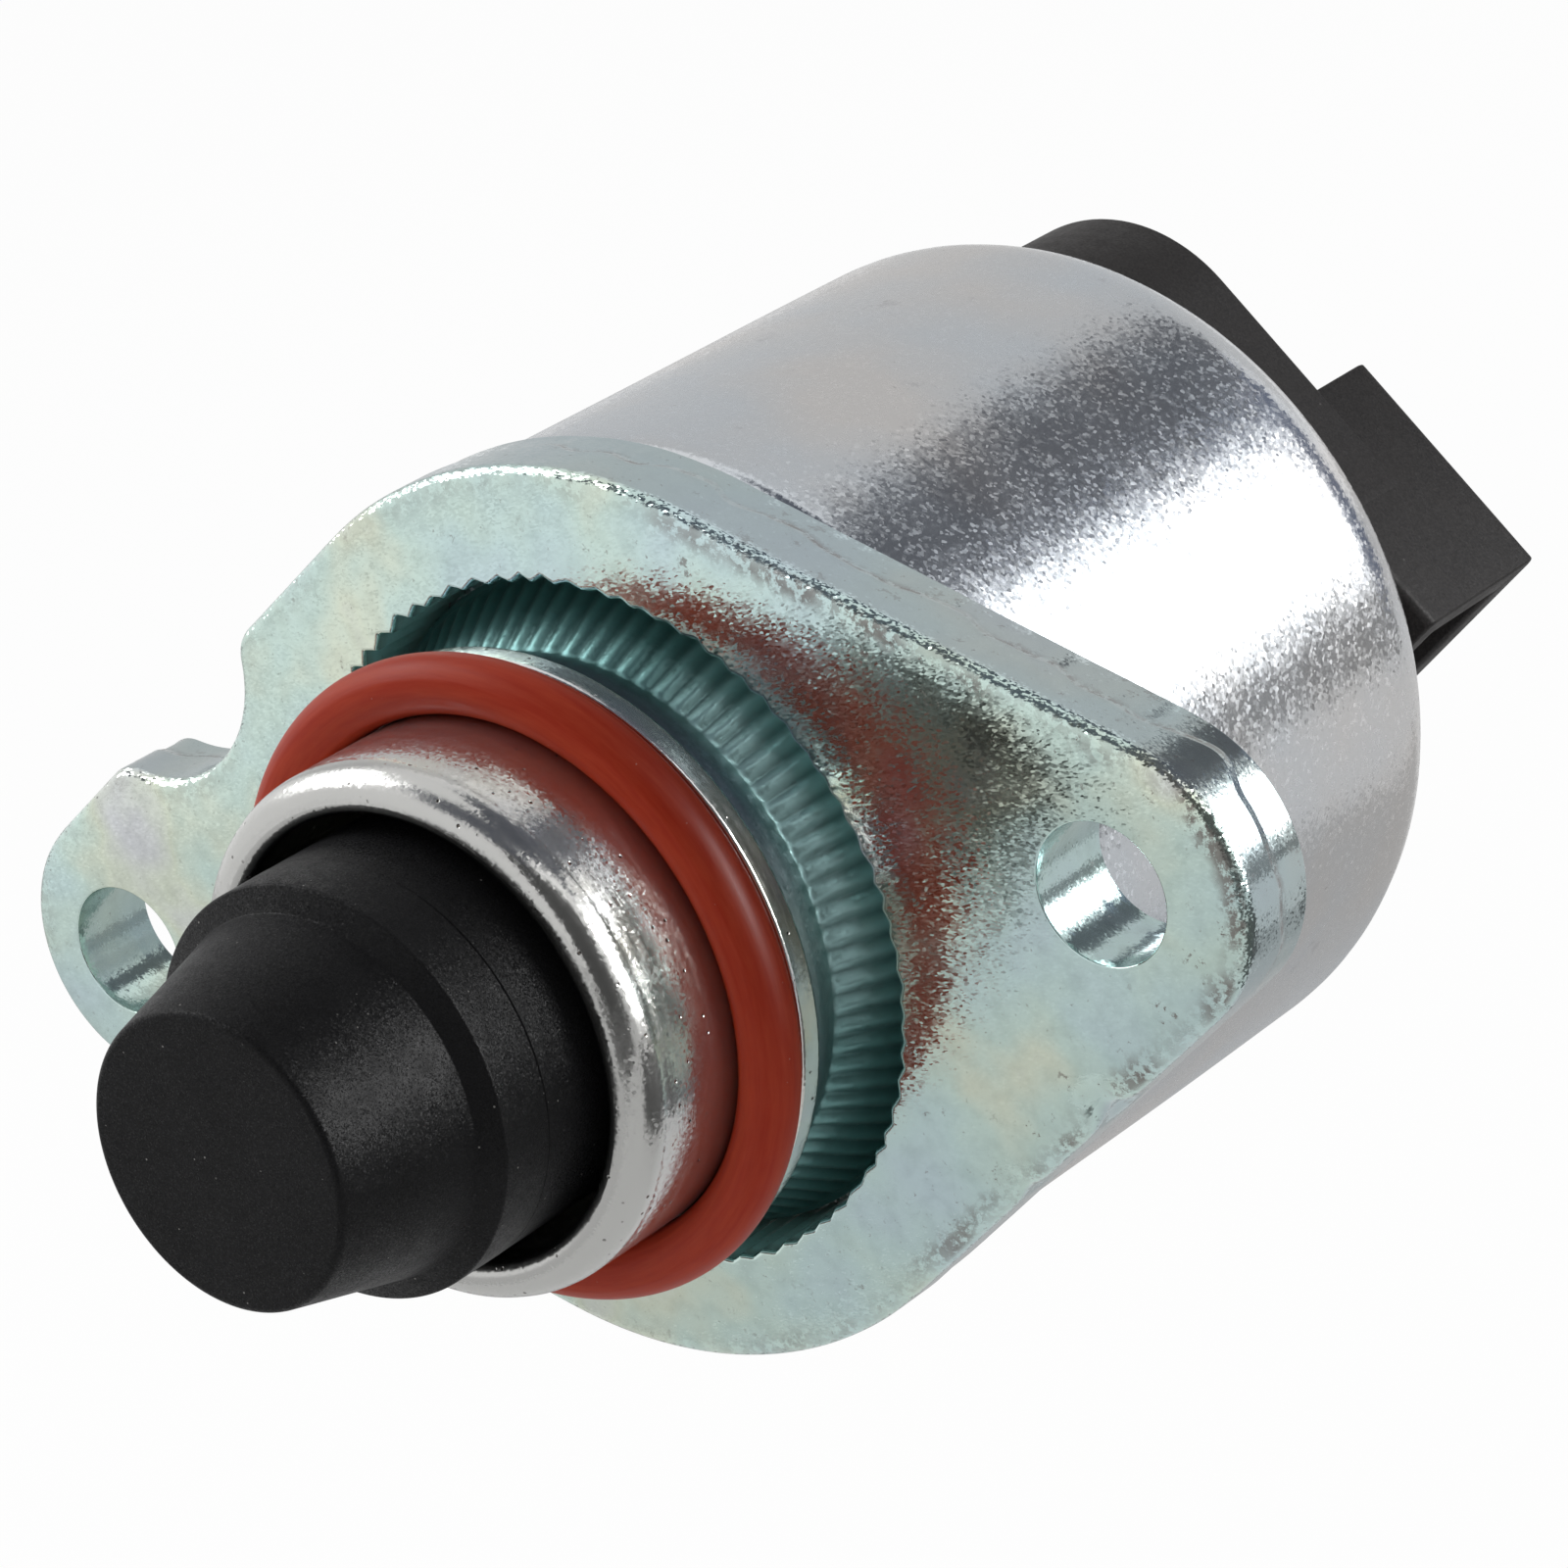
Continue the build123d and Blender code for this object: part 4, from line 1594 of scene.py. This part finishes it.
@dataclass
class Spring:
    """Coil spring from the guide into the pintle's pocket."""

    wire_radius: float = 0.4
    turns: int = 5
    points_along: int = 480
    points_across: int = 20
    sharp: float = 60.0

    def __post_init__(self) -> None:
        """Reads the coil's ends and radius off its solid."""
        low, high = extent("pintle_spring")
        self.radius = float(high[0]) - self.wire_radius
        self.front = float(low[1])
        self.rear = float(high[1])

    def ends(self) -> tuple[Vector, Vector]:
        """Points on the axis at the guide's end and at the pintle's end."""
        return Vector((0, self.rear, 0)) * MM, Vector((0, self.front, 0)) * MM

    def build(self) -> bpy.types.Object:
        """Circle carried along a helix: the wire's middle is at (R cos t, front + rise t, -R sin t).

        The circle lies across the wire, in the outward direction and the one square to it and to the wire.

        Returns:
            The coil, its two ends closed.
        """
        turn = np.linspace(0, FULL_TURN * self.turns, self.points_along)
        around = angles(self.points_across)[:, None, None]
        rise = (self.rear - self.front - 2 * self.wire_radius) / (FULL_TURN * self.turns)
        cosine, sine = np.cos(turn), np.sin(turn)
        out = np.stack([cosine, np.zeros_like(turn), -sine], 1)
        along = np.stack([-self.radius * sine, np.full_like(turn, rise), -self.radius * cosine], 1)
        across = np.cross(out, along / np.linalg.norm(along, axis=1)[:, None])
        middle = self.radius * out
        middle[:, 1] = self.front + self.wire_radius + rise * turn
        skin = Skin("spring_coil")
        skin.tube(middle + self.wire_radius * (np.cos(around) * out + np.sin(around) * across))
        return skin.build(self.sharp)


@dataclass
class Connector:
    """Moulded cap, block and plug shroud, in directions along the plug, across it and along the axis."""

    plug_angle: float = math.radians(-57.8)
    half_width: float = 10.7
    back_reach: float = 14.4
    front_reach: float = 4.0
    corner_radius: float = 7.1
    edge: float = 0.25
    edge_land: float = 0.3
    block_front: float = 32.3
    block_rear: float = 40.0
    shroud_start: float = -1.3
    shroud_mouth: float = 9.5
    shroud_front: float = 35.5
    shroud_rear: float = 43.5
    shroud_wall: float = 1.7
    shroud_floor: float = 1.6
    shroud_corner: float = 0.3
    shroud_inset: float = 0.03
    cap_radius: float = 16.5
    cap_front: float = 26.0
    cap_rear: float = 31.0
    cap_roll: float = 2.8
    neck_radius: float = 12.3
    bush_radius: float = 4.74
    bush_depth: float = 3.5
    bore_radius: float = 3.4
    bore_end: float = 39.7
    bore_overlap: float = 1.0
    block_points: int = 360
    shroud_points: int = 420
    cap_points: int = 192
    room_points: int = 96
    sharp: float = 30.0

    def placed(self, along: Array, across: Array, position: Array) -> Array:
        """Point = along x plug direction + across x cross direction + position x axis."""
        cosine, sine = math.cos(self.plug_angle), math.sin(self.plug_angle)
        return np.stack([along * cosine - across * sine, position, along * sine + across * cosine], -1)

    def block(self) -> bpy.types.Object:
        """Outline carried along the axis; near both ends it draws in by the edge's quarter circle.

        Returns:
            The block.
        """
        path = rounded([
            (self.front_reach, -self.half_width, self.edge),
            (self.front_reach, self.half_width, self.edge),
            (-self.back_reach, self.half_width, self.corner_radius),
            (-self.back_reach, -self.half_width, self.corner_radius),
        ], closed=True, steps=24)
        path = even(path, self.block_points)
        section = rounded([
            (self.edge + self.edge_land, self.block_front, 0),
            (0, self.block_front, self.edge),
            (0, self.block_rear, self.edge),
            (self.edge + self.edge_land, self.block_rear, 0),
        ], closed=False, steps=8)
        ring = path[:, None] - outward(path)[:, None] * section[None, :, :1]
        position = np.broadcast_to(section[None, :, 1], ring.shape[:2])
        skin = Skin("plug_housing")
        skin.tube(self.placed(ring[..., 0], ring[..., 1], position))
        return skin.build()

    def shroud(self) -> bpy.types.Object:
        """Rounded rectangle carried along the plug's way in, over the mouth and down to the socket's floor.

        Returns:
            The shroud.
        """
        level = (self.shroud_front + self.shroud_rear) / 2
        half = np.array([self.half_width - self.shroud_inset, (self.shroud_rear - self.shroud_front) / 2])
        signs = ((-1, -1), (1, -1), (1, 1), (-1, 1))
        corners = [(x * half[0], y * half[1], self.shroud_corner) for x, y in signs]
        path = even(rounded(corners, closed=True, steps=10), self.shroud_points)
        section = rounded([
            (0.3, self.shroud_start, 0),
            (0.0, self.shroud_start, 0.15),
            (0.0, self.shroud_mouth, 0.12),
            (1.0, self.shroud_mouth, 0.2),
            (1.0, self.shroud_start + self.shroud_floor, 0),
        ], closed=False, steps=6)
        ring = path[:, None] * (1 - self.shroud_wall / half * section[None, :, :1])
        along = np.broadcast_to(section[None, :, 1], ring.shape[:2])
        skin = Skin("plug_shroud")
        skin.tube(self.placed(along, ring[..., 0], ring[..., 1] + level))
        return skin.build()

    def cap(self) -> bpy.types.Object:
        """Turned cap inside the can with its neck through the can's opening.

        Returns:
            The cap.
        """
        neck_end = self.block_front + self.edge
        bush_end = self.cap_front + self.bush_depth
        profile = rounded([
            (self.bush_radius, self.cap_front, 0.1),
            (self.cap_radius, self.cap_front, 0.2),
            (self.cap_radius, self.cap_rear, self.cap_roll),
            (self.neck_radius, self.cap_rear, 0),
            (self.neck_radius, neck_end, 0),
            (self.bore_radius, neck_end, 0),
            (self.bore_radius, bush_end, 0),
            (self.bush_radius, bush_end, 0),
        ], closed=True, steps=8)
        return lathe("plug_cap", profile, self.cap_points)

    def shaft_room(self) -> bpy.types.Object:
        """Rod that clears the lead screw's way back into the block.

        Returns:
            The rod.
        """
        start, end = self.block_front - self.bore_overlap, self.bore_end
        profile = np.array([(0, start), (self.bore_radius, start), (self.bore_radius, end), (0, end)])
        return lathe("shaft_room", profile, self.room_points, closed=False)

    def build(self) -> bpy.types.Object:
        """Joins block, shroud and cap into one moulding and opens the shaft's room.

        Returns:
            The moulding.
        """
        whole = self.block()
        steps = [(self.shroud(), "UNION"), (self.cap(), "UNION"), (self.shaft_room(), "DIFFERENCE")]
        for other, operation in steps:
            cut = whole.modifiers.new(other.name, "BOOLEAN")
            cut.operation = operation
            cut.solver = "EXACT"
            cut.object = other
        ready = whole.evaluated_get(bpy.context.evaluated_depsgraph_get())
        joined = bpy.data.meshes.new_from_object(ready)
        whole.modifiers.clear()
        whole.data = joined
        for other, _ in steps:
            bpy.data.objects.remove(other)
        joined.set_sharp_from_angle(angle=math.radians(self.sharp))
        return whole


# Studio


@dataclass(frozen=True)
class Softbox:
    """Lamp that faces the valve from a direction in degrees, with sizes in millimetres."""

    name: str
    azimuth: float
    elevation: float
    distance: float
    width: float
    height: float
    brightness: float


@dataclass(frozen=True)
class Card(Softbox):
    """Card that only the valve's gloss sees, facing the valve or lying level, evenly lit or graded."""

    tint: Colour = (1.0, 1.0, 1.0)
    level: bool = False
    far_brightness: float | None = None


@dataclass
class Studio:
    """White floor and surround, soft lamps, dark cards, two level cards that paint the valve's shadow on the
    floor into its gloss, and the camera.
    """

    camera_place: tuple[float, float, float] = (157.002, -157.331, 57.722)
    camera_turn: tuple[float, float, float] = (75.606, 16.388, 38.793)
    lens: float = 140.99
    sensor: float = 36.0
    clip: Span = (0.01, 20.0)
    aim: tuple[float, float, float] = (0.0, 5.0, 0.0)
    floor_level: float = -65.0
    floor_size: float = 4000.0
    floor_colour: float = 0.90
    floor_glow: float = 0.97
    floor_glow_in_gloss: float = 0.44
    surround: float = 0.24
    lamps: tuple[Softbox, ...] = (
        Softbox("softbox_back", 132, 10.5, 480, 220, 240, 2.2),
        Softbox("softbox_left", -72, 46, 480, 300, 260, 4.4),
        Softbox("softbox_right", 68, 44, 480, 220, 200, 0.6),
    )
    cards: tuple[Card, ...] = (
        Card("card_back", 132, 10.5, 475, 200, 212, 4.5),
        Card("card_side", 104, 5, 480, 200, 300, 22.0),
        # Painted shadow: this card's darker near edge stands in for the valve's shadow on the floor, seen in
        # its gloss.
        Card("card_left", -45, -9.81, 375.5, 600, 560, 0.64, level=True, far_brightness=1.02),
        Card("card_far", -45, -3.41, 1076, 1600, 850, 1.02, level=True),
        Card("flag_high", 157, 37.2, 430, 205, 131, 0.15, (0.96, 0.98, 1.07)),
        Card("flag_back", 157, 6, 440, 160, 360, 0.17, (0.80, 0.93, 1.32)),
        Card("flag_top", 125, 58, 430, 330, 345, 0.13, (0.90, 0.96, 1.15)),
        Card("flag_above", 8, 55, 400, 330, 230, 0.14, (0.90, 0.96, 1.15)),
        Card("flag_over", 66, 63, 420, 240, 200, 0.13, (0.90, 0.96, 1.15)),
        Card("flag_low", 138, -13.5, 230, 210, 48, 0.25),
        Card("flag_front", 42, 12.5, 270, 300, 285, 0.10),
        Card("flag_floor", 30, -24, 158, 190, 80, 0.16),
        Card("grey_back", -150, 28.5, 450, 585, 415, 0.65),
        # Painted shadow: a grey card on the floor behind the valve stands in for its shadow there, seen in
        # its gloss.
        Card("grey_low", -158, -33.9, 107, 150, 100, 0.50, level=True),
        Card("flag_right", 99, -32, 113, 110, 100, 0.12, level=True),
    )

    def direction(self, azimuth: float, elevation: float) -> Vector:
        """Unit vector: azimuth 0 is -Y, 90 is +X, and elevation is above the horizon, in degrees."""
        a, e = math.radians(azimuth), math.radians(elevation)
        return Vector((math.sin(a) * math.cos(e), -math.cos(a) * math.cos(e), math.sin(e)))

    def put(self, thing: bpy.types.Object, box: Softbox) -> None:
        """Places a lamp or a card in its direction from the valve and turns its -Z to the valve.

        Args:
            thing: the lamp or the card.
            box: its place and size.
        """
        away = self.direction(box.azimuth, box.elevation)
        thing.location = (Vector(self.aim) + away * box.distance) * MM
        thing.rotation_euler = away.to_track_quat("Z", "Y").to_euler()
        bpy.context.scene.collection.objects.link(thing)

    def panel(self, name: str, width: float, height: float, look: bpy.types.Material) -> bpy.types.Object:
        """Flat rectangle about the origin that belongs to the stage.

        Args:
            name: its name.
            width: its size along X in millimetres.
            height: its size along Y.
            look: its material.
        Returns:
            The object, not yet in the scene.
        """
        mesh = bpy.data.meshes.new(name)
        x, y = width / 2 * MM, height / 2 * MM
        mesh.from_pydata([(-x, -y, 0), (x, -y, 0), (x, y, 0), (-x, y, 0)], [], [(0, 1, 2, 3)])
        mesh.materials.append(look)
        return bpy.data.objects.new(name, mesh)

    def light(self) -> None:
        """Hangs the soft lamps; a lamp's power is brightness x pi x area."""
        for box in self.lamps:
            lamp = bpy.data.lights.new(box.name, "AREA")
            lamp.shape = "RECTANGLE"
            lamp.size = box.width * MM
            lamp.size_y = box.height * MM
            lamp.energy = box.brightness * math.pi * lamp.size * lamp.size_y
            thing = bpy.data.objects.new(box.name, lamp)
            thing.visible_camera = False
            self.put(thing, box)

    def shade(self) -> None:
        """Stands the cards up; they show only in gloss and throw no shadow."""
        for card in self.cards:
            thing = self.panel(card.name, card.width, card.height, self.glow(card))
            thing.visible_camera = False
            thing.visible_diffuse = False
            thing.visible_shadow = False
            thing.visible_transmission = False
            self.put(thing, card)
            if card.level:
                thing.rotation_euler = (0, 0, math.radians(card.azimuth))

    def glow(self, card: Card) -> bpy.types.Material:
        """Glow of a card: even, or changing from its near edge to its far one.

        Args:
            card: the card.
        Returns:
            The material.
        """
        g = Nodes(bpy.data.materials.new(card.name))
        strength = card.brightness
        if card.far_brightness is not None:
            near = card.height / 2 * MM
            along = g.node("SeparateXYZ", {0: g.place}).outputs["Y"]
            strength = g.between(along, near, -near, card.brightness, card.far_brightness)
        shine = g.node("Emission", {"Color": card.tint, "Strength": strength})
        g.node("OutputMaterial", {"Surface": shine.outputs[0]})
        return g.owner

    def surround_light(self) -> None:
        """White surround where it is seen, and a plain even light on everything else."""
        g = Nodes(bpy.data.worlds.new("surround"))
        strength = g.between(g.seen_rays(), 0.0, 1.0, self.surround, 1.0)
        back = g.node("Background", {"Color": (1.0, 1.0, 1.0), "Strength": strength})
        g.node("OutputWorld", {"Surface": back.outputs[0]})
        bpy.context.scene.world = g.owner

    def floor(self) -> None:
        """Pale floor below the valve: white where it is seen, with the valve's soft shadow left in."""
        g = Nodes(bpy.data.materials.new("floor"))
        camera_ray = g.node("LightPath").outputs["Is Camera Ray"]
        share = g.between(camera_ray, 0.0, 1.0, self.floor_glow_in_gloss, self.floor_glow)
        matt = g.node("BsdfDiffuse", {"Color": (self.floor_colour,) * 3})
        shine = g.node("Emission")
        inputs = {0: g.times(share, g.seen_rays()), 1: matt.outputs[0], 2: shine.outputs[0]}
        g.node("OutputMaterial", {"Surface": g.node("MixShader", inputs).outputs[0]})
        thing = self.panel("floor", self.floor_size, self.floor_size, g.owner)
        thing.location = (0, 0, self.floor_level * MM)
        bpy.context.scene.collection.objects.link(thing)

    def camera(self) -> None:
        """Long lens in front of the right ear, a little above the axis."""
        view = bpy.data.cameras.new("camera")
        view.lens = self.lens
        view.sensor_width = self.sensor
        view.clip_start, view.clip_end = self.clip
        thing = bpy.data.objects.new("camera", view)
        thing.location = Vector(self.camera_place) * MM
        thing.rotation_euler = [math.radians(a) for a in self.camera_turn]
        bpy.context.scene.collection.objects.link(thing)
        bpy.context.scene.camera = thing

    def build(self) -> None:
        """Sets everything up."""
        self.surround_light()
        self.floor()
        self.light()
        self.shade()
        self.camera()
        bpy.context.scene.view_settings.view_transform = "Standard"


def main() -> None:
    """Builds every piece in order, dresses it and sets the studio up."""
    logging.basicConfig(level=logging.INFO, format="%(message)s")
    dresser = Dresser()
    dresser.solids()
    dresser.piece(Flange().build(), "mounting_flange", Body.HOUSING)
    dresser.piece(Can().build(), "motor_can", Body.HOUSING)
    dresser.piece(Nose().build(), "nose_sleeve", Body.HOUSING)
    dresser.piece(Seal().build(), "o_ring", Body.HOUSING)
    dresser.piece(Pintle().build(), "pintle", Body.PINTLE)
    spring = Spring()
    dresser.stretched(spring.build(), "pintle_spring", *spring.ends())
    dresser.piece(Connector().build(), "connector_housing", Body.HOUSING)
    Studio().build()


if __name__ == "__main__":
    main()
